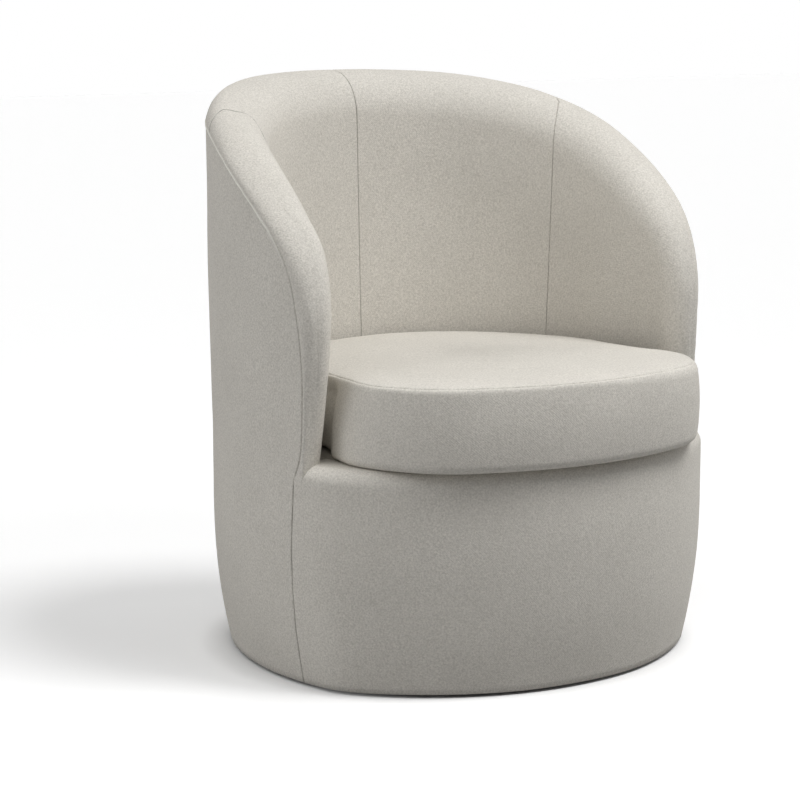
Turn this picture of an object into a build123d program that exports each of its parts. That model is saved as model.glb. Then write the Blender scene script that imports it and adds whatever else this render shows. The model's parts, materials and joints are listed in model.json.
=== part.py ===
"""Swivel tub armchair: an upholstered barrel shell that turns on a hidden ball-bearing base.

Frame: millimetres, +Z up, the sitter faces -Y. Left and right are as seen by someone who looks
at the front, so right is +X. The origin is on the floor, on the swivel axis, which is also the
middle of the plan.
"""

import os
from math import asin, atan2, cos, degrees, radians, sin, sqrt, tan

from build123d import *

os.makedirs("parts", exist_ok=True)

# Plan outline: a chain of tangent arcs, from the back round each side to the front
chair_width = 700.0
side_radius = 480.0
corner_radius = 119.0
back_turn = 65.0
side_turn = 105.0
corner_turn = 131.5

# Rim: a chain of tangent arcs in side view, from the back's top down to the arm's foot
rim_height = 823.0
rim_slope = 4.4
rim_back_radius = 810.0
rim_back_turn = 39.1
rim_shoulder_radius = 186.0
rim_shoulder_turn = 91.7
rim_front_radius = 4000.0
rim_front_turn = 95.0
rim_outer_share = 0.36
rim_inner_share = 0.6

# Seat well
side_wall = 87.5
back_wall = 104.0
well_flare = 7.6
back_recline = 1.9
deck_height = 315.0

# Lower body
hem_height = 9.0
bulge_height = 230.0
hem_inset = 24.5
front_top_round = 22.0
front_cover_return = 60.0
base_seam_y = -117.5

# Upholstery
cover_thickness = 2.0
layer_gap = 0.3
seam_gap = 0.4
padding_thickness = 8.0
inside_foam_thickness = 28.0
rim_foam_thickness = 24.0
front_foam_thickness = 12.0
deck_pad_thickness = 15.5
deck_cloth_thickness = 2.0
side_seam_turn = 66.0

# Wooden frame
base_board_thickness = 18.0
base_board_bore = 50.0
skirt_inner_radius = 250.0
skirt_clearance = 3.0
dust_cover_thickness = 1.0
dust_cover_bore_radius = 234.0
outer_skin_thickness = 3.0
inner_skin_thickness = 4.0
front_board_thickness = 8.0
rib_thickness = 18.0
ribs_per_side = 3
rib_depth = 80.0
rail_thickness = 18.0
seat_ring_thickness = 24.0
seat_ring_width = 62.0
cleat_width = 40.0
cleat_depth = 30.0
cleat_height = 30.0
webbing_width = 58.0
webbing_thickness = 1.5
webbing_inset = 12.0
long_webbing_places = (-144.0, -72.0, 0.0, 72.0, 144.0)
cross_webbing_places = (-190.0, -95.0, 0.0, 95.0, 180.0)

# Swivel base
glide_count = 8
glide_diameter = 30.0
glide_height = 6.0
glide_pin_diameter = 4.0
glide_pin_length = 12.0
glide_circle_radius = 195.0
plinth_diameter = 440.0
plinth_bore = 60.0
plinth_thickness = 18.0
plate_diameter = 300.0
plate_thickness = 3.0
plate_spacing = 5.0
race_radius = 116.0
ball_count = 24
ball_diameter = 8.0
ball_clearance = 0.3
cage_width = 20.0
cage_thickness = 2.0
pivot_diameter = 12.0
pivot_clearance = 0.05
pivot_head_width = 22.0
pivot_head_height = 8.0
bush_wall = 4.0
bush_flange_diameter = 34.0
bush_flange_height = 3.0
washer_diameter = 30.0
washer_thickness = 2.5
nut_width = 20.0
nut_height = 10.0
thread_stickout = 3.0
screw_count = 6
screw_circle_radius = 138.0
screw_diameter = 5.0
screw_head_diameter = 9.5
screw_head_height = 1.8
hole_clearance = 0.1
screw_length = 15.0

# Seat cushion
cushion_height = 123.0
cushion_crown_radius = 5000.0
cushion_crown_turn = 12.0
cushion_side_gap = 10.0
cushion_overhang = 14.0
cushion_corner_radius = 155.0
cushion_front_radius = 470.0
cushion_top_round = 14.0
cushion_bottom_round = 18.0
zip_height = 16.0
zip_thickness = 1.2
zip_level = 45.0
zip_turn = 50.0

# Sizes worked out from the ones above
half_width = chair_width / 2
back_radius = side_radius - (side_radius - half_width) / sin(radians(back_turn))
front_radius = corner_radius + (
    (back_radius - side_radius) * sin(radians(back_turn))
    + (side_radius - corner_radius) * sin(radians(side_turn))
) / sin(radians(corner_turn))
front_centre_offset = (
    (back_radius - side_radius) * cos(radians(back_turn))
    + (side_radius - corner_radius) * cos(radians(side_turn))
    + (corner_radius - front_radius) * cos(radians(corner_turn))
)
back_centre_y = (front_radius - front_centre_offset + cushion_overhang - back_radius) / 2
back_y = back_centre_y + back_radius
front_y = back_centre_y + front_centre_offset - front_radius
well_radius = half_width - side_wall
recline_slope = tan(radians(back_recline))
side_centre_x = half_width - side_radius
side_centre_y = back_centre_y + (back_radius - side_radius) * cos(radians(back_turn))
bulge_radius = (hem_inset**2 + (bulge_height - hem_height) ** 2) / (2 * hem_inset)
above_rim = rim_height + side_wall

padding_face = cover_thickness + layer_gap
skin_face = padding_face + padding_thickness + layer_gap
rib_face = skin_face + outer_skin_thickness + layer_gap
front_board_face = padding_face + front_foam_thickness + layer_gap
inner_skin_face = padding_face + inside_foam_thickness + layer_gap
rib_inner_face = inner_skin_face + inner_skin_thickness + layer_gap
rail_face = padding_face + rim_foam_thickness + layer_gap
rib_top_face = rail_face + rail_thickness + layer_gap

plinth_top = glide_height + plinth_thickness
lower_plate_top = plinth_top + plate_thickness
upper_plate_bottom = lower_plate_top + plate_spacing
upper_plate_top = upper_plate_bottom + plate_thickness
ball_level = (lower_plate_top + upper_plate_bottom) / 2
base_board_top = upper_plate_top + base_board_thickness
skirt_bottom = hem_height + skirt_clearance
washer_bottom = upper_plate_top + bush_flange_height + layer_gap
pivot_top = washer_bottom + washer_thickness + nut_height + thread_stickout
bush_radius = pivot_diameter / 2 + pivot_clearance + bush_wall

wall_bottom = deck_height + layer_gap
deck_cloth_bottom = deck_height - deck_cloth_thickness
deck_pad_bottom = deck_cloth_bottom - deck_pad_thickness
cross_webbing_bottom = deck_pad_bottom - webbing_thickness
seat_ring_top = cross_webbing_bottom - webbing_thickness
seat_ring_bottom = seat_ring_top - seat_ring_thickness

rim_bends = (
    (rim_back_radius, rim_back_turn),
    (rim_shoulder_radius, rim_shoulder_turn),
    (rim_front_radius, rim_front_turn),
)
sides = (("left", -1), ("right", 1))


def keep(piece, name):
    """Name a finished piece and write its file."""
    piece.part.label = name
    export_step(piece.part, f"parts/{name}.step")


def bulge_inset(face, level):
    """How far in from the plan outline a layer's outer face lies at a height."""
    drop = max(0.0, bulge_height - level)
    return bulge_radius - sqrt((bulge_radius - face) ** 2 - drop**2)


def well_back(level):
    """Back of the seat well at a height; the inside back leans with the recline."""
    return back_y - back_wall - (rim_height - level) * recline_slope


def well_middle(level):
    """Centre of the seat well's round back at a height."""
    return well_back(level) - well_radius


def plan_half_width(place):
    """Half the chair's width at a place along the arms."""
    if place > side_centre_y + side_radius * cos(radians(side_turn)):
        return side_centre_x + sqrt(side_radius**2 - (place - side_centre_y) ** 2)
    corner_x = side_centre_x + (side_radius - corner_radius) * sin(radians(side_turn))
    corner_y = side_centre_y + (side_radius - corner_radius) * cos(radians(side_turn))
    return corner_x + sqrt(corner_radius**2 - (place - corner_y) ** 2)


def well_half_width(place):
    """Half the seat well's width between the flared arms, at a place along them."""
    flare = radians(well_flare)
    return (well_radius - (place - well_middle(deck_height)) * sin(flare)) / cos(flare)


def rim_reach():
    """How far the rim runs forward from the back to the arm's foremost point."""
    reach = 0.0
    turned = rim_slope
    for radius, turn in rim_bends:
        reach += radius * (sin(radians(min(turn, 90.0))) - sin(radians(turned)))
        turned = min(turn, 90.0)
    return reach


def plan_outline(inset, level):
    """Face of the chair's plan at a height, drawn in by inset."""
    with BuildSketch(Plane.XY.offset(level)) as outline:
        with BuildLine():
            back = JernArc((0, back_y - inset), (1, 0), back_radius - inset, -back_turn)
            side = JernArc(back @ 1, back % 1, side_radius - inset, back_turn - side_turn)
            corner = JernArc(side @ 1, side % 1, corner_radius - inset, side_turn - corner_turn)
            JernArc(corner @ 1, corner % 1, front_radius - inset, corner_turn - 180)
            mirror(about=Plane.YZ)
        make_face()
    return outline.sketch


def well_outline(growth, level):
    """Face of the seat well's plan at a height, widened by growth and open past the front."""
    with BuildSketch(Plane.XY.offset(level)) as outline:
        with BuildLine():
            start = (0, well_back(level) + growth)
            back = JernArc(start, (1, 0), well_radius + growth, well_flare - 90)
            side = Line(back @ 1, back @ 1 + (back % 1) * chair_width)
            Line(side @ 1, (0, (side @ 1).Y))
            mirror(about=Plane.YZ)
        make_face()
    return outline.sketch


def rim_outline(inset):
    """Face in side view of all that lies below the rim line, drawn in by inset."""
    slope = radians(rim_slope)
    heading = Vector(-cos(slope), -sin(slope))
    start = Vector(back_y, rim_height) - Vector(-sin(slope), cos(slope)) * inset
    tail = start - heading * side_wall
    turned = rim_slope
    with BuildSketch(Plane.YZ) as outline:
        with BuildLine():
            Line(tail, start)
            for radius, turn in rim_bends:
                bend = JernArc(start, heading, radius - inset, turn - turned)
                start = bend @ 1
                heading = bend % 1
                turned = turn
            Polyline(start, (start.X, 0), (tail.X, 0), tail)
        make_face()
    return outline.sketch


def plan_block(inset, bottom, top):
    """Upright solid on the chair's plan."""
    with BuildPart() as block:
        extrude(plan_outline(inset, bottom), amount=top - bottom)
    return block.part


def well_block(growth, bottom):
    """Solid of the seat well from a height to above the rim, leaning with the recline."""
    lean = radians(back_recline)
    with BuildPart() as block:
        extrude(
            well_outline(growth, bottom),
            amount=(above_rim - bottom) / cos(lean),
            dir=(0, sin(lean), cos(lean)),
        )
    return block.part


def rim_block(inset):
    """Solid of all that lies below the rim line, across the whole width."""
    with BuildPart() as block:
        extrude(rim_outline(inset), amount=chair_width, both=True)
    return block.part


def rim_edges(edges, bottom):
    """Curved edges that run along the rim, above a height."""
    return edges.filter_by(
        lambda edge: edge.geom_type != GeomType.LINE and edge.center().Z > bottom + layer_gap
    )


def wall_block(inset, bottom):
    """Arm and back wall with its rounded rim, drawn in by inset on all its faces."""
    with BuildPart() as block:
        extrude(plan_outline(inset, bottom), amount=above_rim - bottom)
        add(rim_block(inset), mode=Mode.INTERSECT)
        fillet(rim_edges(block.edges(), bottom), rim_outer_round - inset)
        add(well_block(inset, bottom), mode=Mode.SUBTRACT)
        fillet(rim_edges(block.edges(Select.LAST), bottom), rim_inner_round - inset)
    return block.part


def bulge_lines(face, depth, bottom):
    """Draw the lower part of a layer's section: its two bulged faces and its bottom edge."""
    drop = bulge_height - bottom
    arcs = []
    for inset in (face, face + depth):
        turn = degrees(asin(drop / (bulge_radius - inset)))
        arcs.append(JernArc((back_y - inset, bulge_height), (0, -1), bulge_radius - inset, -turn))
    low, deep = arcs
    Line(low @ 1, deep @ 1)
    return low @ 0, deep @ 0


def barrel_ring(face, depth, bottom, top):
    """Ring that follows the barrel's bulge, from a face inset inwards by depth."""
    with BuildPart() as ring:
        with BuildSketch(Plane.YZ) as section:
            with BuildLine():
                outer, inner = bulge_lines(face, depth, bottom)
                Polyline(outer, (outer.X, top), (inner.X, top), inner)
            make_face()
        sweep(section.sketch, path=plan_outline(0, 0).face().outer_wire())
    return ring.part


def front_shell(face, depth, bottom, shelf, inner_round):
    """Lower front layer: the barrel's bulge, a rounded top edge and a shelf that runs inwards."""
    top = deck_height - face
    shelf_end = back_y - front_cover_return
    outer_round = front_top_round - face
    with BuildPart() as ring:
        with BuildSketch(Plane.YZ) as section:
            with BuildLine():
                outer, inner = bulge_lines(face, depth, bottom)
                rise = Line(outer, (outer.X, top - outer_round))
                bend = JernArc(rise @ 1, (0, 1), outer_round, 90)
                Polyline(bend @ 1, (shelf_end, top), (shelf_end, shelf))
                under = Line((shelf_end, shelf), (inner.X - inner_round, shelf))
                inner_bend = JernArc(under @ 1, (1, 0), inner_round, -90)
                Line(inner_bend @ 1, inner)
            make_face()
        sweep(section.sketch, path=plan_outline(0, 0).face().outer_wire())
    return ring.part


def sector(first, last):
    """Upright wedge about the middle of the well, between two turns from the back."""
    middle = (first + last) / 2
    opening = radians(last - first) / 2
    apex_shift = seam_gap / 2 / sin(opening)
    apex = Vector(0, well_middle(deck_height))
    reach = 4 * chair_width
    steps = 4
    with BuildPart() as wedge:
        with BuildSketch():
            with BuildLine():
                inner = apex + Vector(sin(radians(middle)), cos(radians(middle))) * apex_shift
                turns = [radians(first + (last - first) * step / steps) for step in range(steps + 1)]
                corners = [inner + Vector(sin(turn), cos(turn)) * reach for turn in turns]
                Polyline(inner, *corners, close=True)
            make_face()
        extrude(amount=above_rim)
    return wedge.part


def side_sector(sign, first, last):
    """Wedge on one side of the chair."""
    return sector(first, last) if sign > 0 else sector(-last, -first)


def lower_front(limit):
    """Block of everything below the arms and in front of a line across the chair."""
    with BuildPart() as block:
        with BuildSketch():
            with BuildLine():
                Polyline(
                    (-chair_width, limit),
                    (chair_width, limit),
                    (chair_width, limit - 2 * chair_width),
                    (-chair_width, limit - 2 * chair_width),
                    close=True,
                )
            make_face()
        extrude(amount=wall_bottom)
    return block.part


def cushion_outline(inset, level):
    """Face of the cushion's plan, drawn in by inset."""
    flare = radians(well_flare)
    gap = cushion_side_gap + inset
    corner = cushion_corner_radius - inset
    front = cushion_front_radius - inset
    front_middle = front_y - cushion_overhang + cushion_front_radius
    heading = Vector(sin(flare), -cos(flare))
    inward = Vector(-cos(flare), -sin(flare))
    with BuildSketch(Plane.XY.offset(level)) as outline:
        with BuildLine():
            start = (0, well_back(deck_height) - gap)
            back = JernArc(start, (1, 0), well_radius - gap, well_flare - 90)
            base = back @ 1 + inward * corner - Vector(0, front_middle)
            along = base.dot(heading)
            run = -along + sqrt(along**2 - base.dot(base) + (front - corner) ** 2)
            side = Line(back @ 1, back @ 1 + heading * run)
            middle = base + heading * run
            corner_end = degrees(atan2(middle.X, middle.Y))
            bend = JernArc(side @ 1, heading, corner, 90 - well_flare - corner_end)
            JernArc(bend @ 1, bend % 1, front, corner_end - 180)
            mirror(about=Plane.YZ)
        make_face()
    return outline.sketch


def cushion_block(inset):
    """Cushion with a crowned top and rounded edges, drawn in by inset on all its faces."""
    bottom = deck_height + layer_gap + inset
    crown = deck_height + layer_gap + cushion_height
    with BuildPart() as block:
        extrude(cushion_outline(inset, bottom), amount=cushion_height)
        with BuildSketch(Plane.XZ) as dome:
            with BuildLine():
                centre = (0, crown - cushion_crown_radius)
                radius = cushion_crown_radius - inset
                arc = CenterArc(centre, radius, 90 - cushion_crown_turn, cushion_crown_turn)
                Polyline(arc @ 1, (0, 0), ((arc @ 0).X, 0), arc @ 0)
            make_face()
        revolve(dome.sketch, axis=Axis.Z, mode=Mode.INTERSECT)
        curved = block.edges().filter_by(GeomType.LINE, reverse=True)
        top_edges = curved.filter_by_position(Axis.Z, bottom + cushion_bottom_round, above_rim)
        fillet(top_edges, cushion_top_round - inset)
        fillet(block.faces().sort_by(Axis.Z)[0].edges(), cushion_bottom_round - inset)
    return block.part


def planes_round(count, radius, level):
    """Level planes spaced evenly round the swivel axis at a height."""
    turns = [radians(360 * place / count) for place in range(count)]
    return [Plane((radius * cos(turn), radius * sin(turn), level)) for turn in turns]


def screw_planes(level):
    """Places of the plate screws at a height."""
    return planes_round(screw_count, screw_circle_radius, level)


def glide_planes(level):
    """Places of the floor glides at a height."""
    return planes_round(glide_count, glide_circle_radius, level)


arm_tip_y = back_y - rim_reach()
arm_tip_wall = plan_half_width(arm_tip_y) - well_half_width(arm_tip_y)
rim_outer_round = rim_outer_share * arm_tip_wall
rim_inner_round = rim_inner_share * arm_tip_wall
arm_rib_turn = degrees(atan2(half_width, side_centre_y - well_middle(deck_height)))
rib_turns = [arm_rib_turn * place / ribs_per_side for place in range(-ribs_per_side, ribs_per_side + 1)]
base_board_inset = bulge_inset(front_board_face, upper_plate_top)
skirt_inset = bulge_inset(front_board_face, skirt_bottom)


def radial_strip(turn, width, level):
    """Face of a strip that runs outwards from near the middle of the well, at a height."""
    outwards = Vector(sin(radians(turn)), cos(radians(turn)))
    start = Vector(0, well_middle(deck_height), level) + outwards * half_width / 2
    with BuildSketch(Plane(start, x_dir=outwards, z_dir=(0, 0, 1))) as strip:
        Rectangle(chair_width, width, align=(Align.MIN, Align.CENTER))
    return strip.sketch


def race_groove():
    """Ring that the balls need to roll in, with their clearance."""
    with BuildPart() as groove:
        with BuildSketch(Plane((race_radius, 0, ball_level), x_dir=(1, 0, 0), z_dir=(0, -1, 0))):
            Circle(ball_diameter / 2 + ball_clearance)
        revolve(axis=Axis.Z)
    return groove.part


def deck_region(bottom, thickness, inset):
    """Flat layer of the seat deck, inside the wall's frame and behind the front cover's return."""
    with BuildPart() as layer:
        extrude(plan_outline(front_cover_return + seam_gap + inset, bottom), amount=thickness)
        add(well_block(inner_skin_face - layer_gap - inset, 0), mode=Mode.INTERSECT)
    return layer.part


# Floor base: glides, plinth, lower plate and the pivot bolt
with BuildPart() as glides:
    with BuildSketch(*glide_planes(0)):
        Circle(glide_diameter / 2)
    extrude(amount=glide_height)
    with BuildSketch(*glide_planes(glide_height)):
        Circle(glide_pin_diameter / 2)
    extrude(amount=glide_pin_length)
keep(glides, "floor_glides")

with BuildPart() as plinth:
    with BuildSketch(Plane.XY.offset(glide_height)):
        Circle(plinth_diameter / 2)
        Circle(plinth_bore / 2, mode=Mode.SUBTRACT)
    extrude(amount=plinth_thickness)
    with BuildSketch(*glide_planes(glide_height)):
        Circle(glide_pin_diameter / 2 + hole_clearance)
    extrude(amount=glide_pin_length + hole_clearance, mode=Mode.SUBTRACT)
    with BuildSketch(*screw_planes(plinth_top)):
        Circle(screw_diameter / 2 + hole_clearance)
    extrude(amount=plate_thickness - screw_length - hole_clearance, mode=Mode.SUBTRACT)
keep(plinth, "floor_plinth")

with BuildPart() as lower_plate:
    with BuildSketch(Plane.XY.offset(plinth_top)):
        Circle(plate_diameter / 2)
        Circle(pivot_diameter / 2 + hole_clearance, mode=Mode.SUBTRACT)
    extrude(amount=plate_thickness)
    with BuildSketch(*screw_planes(plinth_top)):
        Circle(screw_diameter / 2 + hole_clearance)
    extrude(amount=plate_thickness, mode=Mode.SUBTRACT)
    add(race_groove(), mode=Mode.SUBTRACT)
keep(lower_plate, "swivel_lower_plate")

with BuildPart() as lower_screws:
    with BuildSketch(*screw_planes(lower_plate_top)):
        Circle(screw_head_diameter / 2)
    extrude(amount=screw_head_height)
    with BuildSketch(*screw_planes(lower_plate_top)):
        Circle(screw_diameter / 2)
    extrude(amount=-screw_length)
keep(lower_screws, "lower_plate_screws")

with BuildPart() as pivot_bolt:
    with BuildSketch(Plane.XY.offset(plinth_top - pivot_head_height)):
        RegularPolygon(pivot_head_width / 2, 6, major_radius=False)
    extrude(amount=pivot_head_height)
    with BuildSketch(Plane.XY.offset(plinth_top)):
        Circle(pivot_diameter / 2)
    extrude(amount=pivot_top - plinth_top)
keep(pivot_bolt, "pivot_bolt")

with BuildPart() as pivot_washer:
    with BuildSketch(Plane.XY.offset(washer_bottom)):
        Circle(washer_diameter / 2)
        Circle(pivot_diameter / 2 + hole_clearance, mode=Mode.SUBTRACT)
    extrude(amount=washer_thickness)
keep(pivot_washer, "pivot_washer")

with BuildPart() as pivot_nut:
    with BuildSketch(Plane.XY.offset(washer_bottom + washer_thickness)):
        RegularPolygon(nut_width / 2, 6, major_radius=False)
        Circle(pivot_diameter / 2 + pivot_clearance, mode=Mode.SUBTRACT)
    extrude(amount=nut_height)
keep(pivot_nut, "pivot_nut")

# Ball ring that rolls between the two plates
with BuildPart() as cage:
    with BuildSketch(Plane.XY.offset(ball_level - cage_thickness / 2)):
        Circle(race_radius + cage_width / 2)
        Circle(race_radius - cage_width / 2, mode=Mode.SUBTRACT)
    extrude(amount=cage_thickness)
    with BuildSketch(*planes_round(ball_count, race_radius, ball_level)):
        Circle(ball_diameter / 2 + ball_clearance)
    extrude(amount=cage_thickness, both=True, mode=Mode.SUBTRACT)
keep(cage, "ball_cage")

with BuildPart() as balls:
    with Locations(*planes_round(ball_count, race_radius, ball_level)):
        Sphere(ball_diameter / 2)
keep(balls, "bearing_balls")

# Turning plate under the chair body
with BuildPart() as upper_plate:
    with BuildSketch(Plane.XY.offset(upper_plate_bottom)):
        Circle(plate_diameter / 2)
        Circle(bush_radius + hole_clearance, mode=Mode.SUBTRACT)
    extrude(amount=plate_thickness)
    with BuildSketch(*screw_planes(upper_plate_bottom)):
        Circle(screw_diameter / 2 + hole_clearance)
    extrude(amount=plate_thickness, mode=Mode.SUBTRACT)
    add(race_groove(), mode=Mode.SUBTRACT)
keep(upper_plate, "swivel_upper_plate")

with BuildPart() as pivot_bush:
    with BuildSketch(Plane.XY.offset(upper_plate_bottom)):
        Circle(bush_radius)
        Circle(pivot_diameter / 2 + pivot_clearance, mode=Mode.SUBTRACT)
    extrude(amount=plate_thickness)
    with BuildSketch(Plane.XY.offset(upper_plate_top)):
        Circle(bush_flange_diameter / 2)
        Circle(pivot_diameter / 2 + pivot_clearance, mode=Mode.SUBTRACT)
    extrude(amount=bush_flange_height)
keep(pivot_bush, "pivot_bush")

with BuildPart() as upper_screws:
    with BuildSketch(*screw_planes(upper_plate_bottom)):
        Circle(screw_head_diameter / 2)
    extrude(amount=-screw_head_height)
    with BuildSketch(*screw_planes(upper_plate_bottom)):
        Circle(screw_diameter / 2)
    extrude(amount=screw_length)
keep(upper_screws, "upper_plate_screws")

# Wooden frame of the chair body
with BuildPart() as base_board:
    extrude(plan_outline(base_board_inset, upper_plate_top), amount=base_board_thickness)
    with BuildSketch(Plane.XY.offset(upper_plate_top)):
        Circle(base_board_bore / 2)
    extrude(amount=base_board_thickness, mode=Mode.SUBTRACT)
    with BuildSketch(*screw_planes(upper_plate_top)):
        Circle(screw_diameter / 2 + hole_clearance)
    extrude(amount=screw_length - plate_thickness + hole_clearance, mode=Mode.SUBTRACT)
keep(base_board, "base_board")

with BuildPart() as skirt:
    extrude(plan_outline(skirt_inset, skirt_bottom), amount=upper_plate_top - skirt_bottom)
    with BuildSketch(Plane.XY.offset(skirt_bottom)):
        Circle(skirt_inner_radius)
    extrude(amount=upper_plate_top - skirt_bottom, mode=Mode.SUBTRACT)
keep(skirt, "skirt_ring")

with BuildPart() as dust_cover:
    extrude(plan_outline(skirt_inset, skirt_bottom), amount=-dust_cover_thickness)
    with BuildSketch(Plane.XY.offset(skirt_bottom)):
        Circle(dust_cover_bore_radius)
    extrude(amount=-dust_cover_thickness, mode=Mode.SUBTRACT)
keep(dust_cover, "dust_cover")

with BuildPart() as front_board:
    add(barrel_ring(front_board_face, front_board_thickness, base_board_top, seat_ring_bottom))
    add(lower_front(base_seam_y), mode=Mode.INTERSECT)
keep(front_board, "front_board")

with BuildPart() as seat_opening:
    extrude(plan_outline(front_board_face + seat_ring_width, seat_ring_bottom), amount=seat_ring_thickness)
    add(well_block(rib_inner_face - seat_ring_width, 0), mode=Mode.INTERSECT)
with BuildPart() as seat_ring:
    extrude(plan_outline(front_board_face, seat_ring_bottom), amount=seat_ring_thickness)
    add(well_block(rib_inner_face - layer_gap, 0), mode=Mode.INTERSECT)
    add(seat_opening.part, mode=Mode.SUBTRACT)
keep(seat_ring, "seat_ring")

with BuildPart() as cleats:
    for turn in rib_turns:
        extrude(radial_strip(turn, cleat_width, seat_ring_bottom), amount=-cleat_height)
    add(well_block(rib_inner_face - layer_gap, 0), mode=Mode.INTERSECT)
    add(well_block(rib_inner_face - cleat_depth, 0), mode=Mode.SUBTRACT)
keep(cleats, "seat_cleats")

rib_ring = barrel_ring(rib_face, rib_depth, base_board_top, rim_height)
for number, turn in enumerate(rib_turns, start=1):
    with BuildPart() as rib:
        extrude(radial_strip(turn, rib_thickness, base_board_top), amount=rim_height)
        add(rib_ring, mode=Mode.INTERSECT)
        add(rim_block(rib_top_face), mode=Mode.INTERSECT)
        add(well_block(rib_inner_face, 0), mode=Mode.SUBTRACT)
    keep(rib, f"frame_rib_{number}")

with BuildPart() as rail:
    add(plan_block(rib_face, wall_bottom, above_rim))
    add(rim_block(rail_face), mode=Mode.INTERSECT)
    add(rim_block(rail_face + rail_thickness), mode=Mode.SUBTRACT)
    add(well_block(rib_inner_face, 0), mode=Mode.SUBTRACT)
for name, first, last in (
    ("back", -side_seam_turn, side_seam_turn),
    ("left", -180.0, -side_seam_turn),
    ("right", side_seam_turn, 180.0),
):
    with BuildPart() as rail_piece:
        add(rail.part)
        add(sector(first, last), mode=Mode.INTERSECT)
    keep(rail_piece, f"rim_rail_{name}")

with BuildPart() as outer_skin:
    add(barrel_ring(skin_face, outer_skin_thickness, skirt_bottom, rim_height))
    add(rim_block(rail_face), mode=Mode.INTERSECT)
    add(lower_front(base_seam_y), mode=Mode.SUBTRACT)
keep(outer_skin, "outer_skin")

with BuildPart() as inner_skin:
    add(plan_block(rib_face, wall_bottom, above_rim))
    add(rim_block(rail_face), mode=Mode.INTERSECT)
    add(well_block(rib_inner_face - layer_gap, 0), mode=Mode.INTERSECT)
    add(well_block(inner_skin_face, 0), mode=Mode.SUBTRACT)
keep(inner_skin, "inner_skin")

# Seat deck
with BuildPart() as long_webbing:
    for place in long_webbing_places:
        with BuildSketch(Plane((place, 0, seat_ring_top))):
            Rectangle(webbing_width, 2 * chair_width)
        extrude(amount=webbing_thickness)
    add(deck_region(seat_ring_top, webbing_thickness, webbing_inset), mode=Mode.INTERSECT)
keep(long_webbing, "webbing_front_to_back")

with BuildPart() as cross_webbing:
    for place in cross_webbing_places:
        with BuildSketch(Plane((0, place, cross_webbing_bottom))):
            Rectangle(2 * chair_width, webbing_width)
        extrude(amount=webbing_thickness)
    add(deck_region(cross_webbing_bottom, webbing_thickness, webbing_inset), mode=Mode.INTERSECT)
keep(cross_webbing, "webbing_side_to_side")

with BuildPart() as deck_pad:
    add(deck_region(deck_pad_bottom, deck_pad_thickness, 0))
keep(deck_pad, "deck_pad")

with BuildPart() as deck_cloth:
    add(deck_region(deck_cloth_bottom, deck_cloth_thickness, 0))
keep(deck_cloth, "deck_cloth")

# Upholstery of the wall
cover_wall = wall_block(0, wall_bottom)
cover_hollow = wall_block(cover_thickness, deck_height - layer_gap)
foam_wall = wall_block(padding_face, wall_bottom)
with BuildPart() as outside_zone:
    add(rim_block(rim_outer_round))
    add(plan_block(padding_face, 0, above_rim), mode=Mode.SUBTRACT)
with BuildPart() as frame_zone:
    add(rim_block(rail_face - layer_gap))
    add(well_block(inner_skin_face - layer_gap, 0), mode=Mode.SUBTRACT)
with BuildPart() as inside_cover:
    add(cover_wall)
    add(cover_hollow, mode=Mode.SUBTRACT)
    add(outside_zone.part, mode=Mode.SUBTRACT)
with BuildPart() as inside_foam:
    add(foam_wall)
    add(frame_zone.part, mode=Mode.SUBTRACT)
with BuildPart() as outside_cover:
    add(barrel_ring(0, cover_thickness, hem_height, above_rim))
    add(rim_block(rim_outer_round + seam_gap), mode=Mode.INTERSECT)
    add(lower_front(base_seam_y + seam_gap), mode=Mode.SUBTRACT)
with BuildPart() as outside_padding:
    add(barrel_ring(padding_face, padding_thickness, skirt_bottom, above_rim))
    add(rim_block(rail_face), mode=Mode.INTERSECT)
    add(lower_front(base_seam_y + seam_gap), mode=Mode.SUBTRACT)

for side, sign in sides:
    for name, whole, first, last in (
        ("outside_cover", outside_cover, 0.0, 180.0),
        ("outside_padding", outside_padding, 0.0, 180.0),
        ("back_cover", inside_cover, 0.0, side_seam_turn),
        ("arm_cover", inside_cover, side_seam_turn, 180.0),
        ("back_foam", inside_foam, 0.0, side_seam_turn),
        ("arm_foam", inside_foam, side_seam_turn, 180.0),
    ):
        with BuildPart() as panel:
            add(whole.part)
            add(side_sector(sign, first, last), mode=Mode.INTERSECT)
        keep(panel, f"{name}_{side}")

# Upholstery of the lower front
with BuildPart() as front_foam:
    add(front_shell(padding_face, front_foam_thickness, skirt_bottom, deck_pad_bottom, layer_gap))
    add(lower_front(base_seam_y), mode=Mode.INTERSECT)
keep(front_foam, "front_foam")

with BuildPart() as front_cover:
    add(front_shell(0, cover_thickness, hem_height, deck_cloth_bottom, front_top_round - cover_thickness))
    add(lower_front(base_seam_y), mode=Mode.INTERSECT)
keep(front_cover, "front_cover")

# Loose seat cushion
cushion_core = cushion_block(cover_thickness)
with BuildPart() as cushion_cover:
    add(cushion_block(0))
    add(cushion_core, mode=Mode.SUBTRACT)
keep(cushion_cover, "cushion_cover")

with BuildPart() as cushion_foam:
    add(cushion_block(cover_thickness + layer_gap))
keep(cushion_foam, "cushion_foam")

with BuildPart() as cushion_zip:
    with BuildSketch(Plane((0, well_middle(deck_height), deck_height + zip_level))):
        Circle(well_radius - cushion_side_gap + hole_clearance + zip_thickness)
        Circle(well_radius - cushion_side_gap + hole_clearance, mode=Mode.SUBTRACT)
    extrude(amount=zip_height)
    add(sector(-zip_turn, zip_turn), mode=Mode.INTERSECT)
keep(cushion_zip, "cushion_zip")
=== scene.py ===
"""Looks of the swivel tub armchair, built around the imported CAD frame, in metres and in its axes."""

import json
import math

import bmesh
import bpy
import numpy as np
from mathutils import Matrix, Vector
from mathutils.kdtree import KDTree


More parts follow.
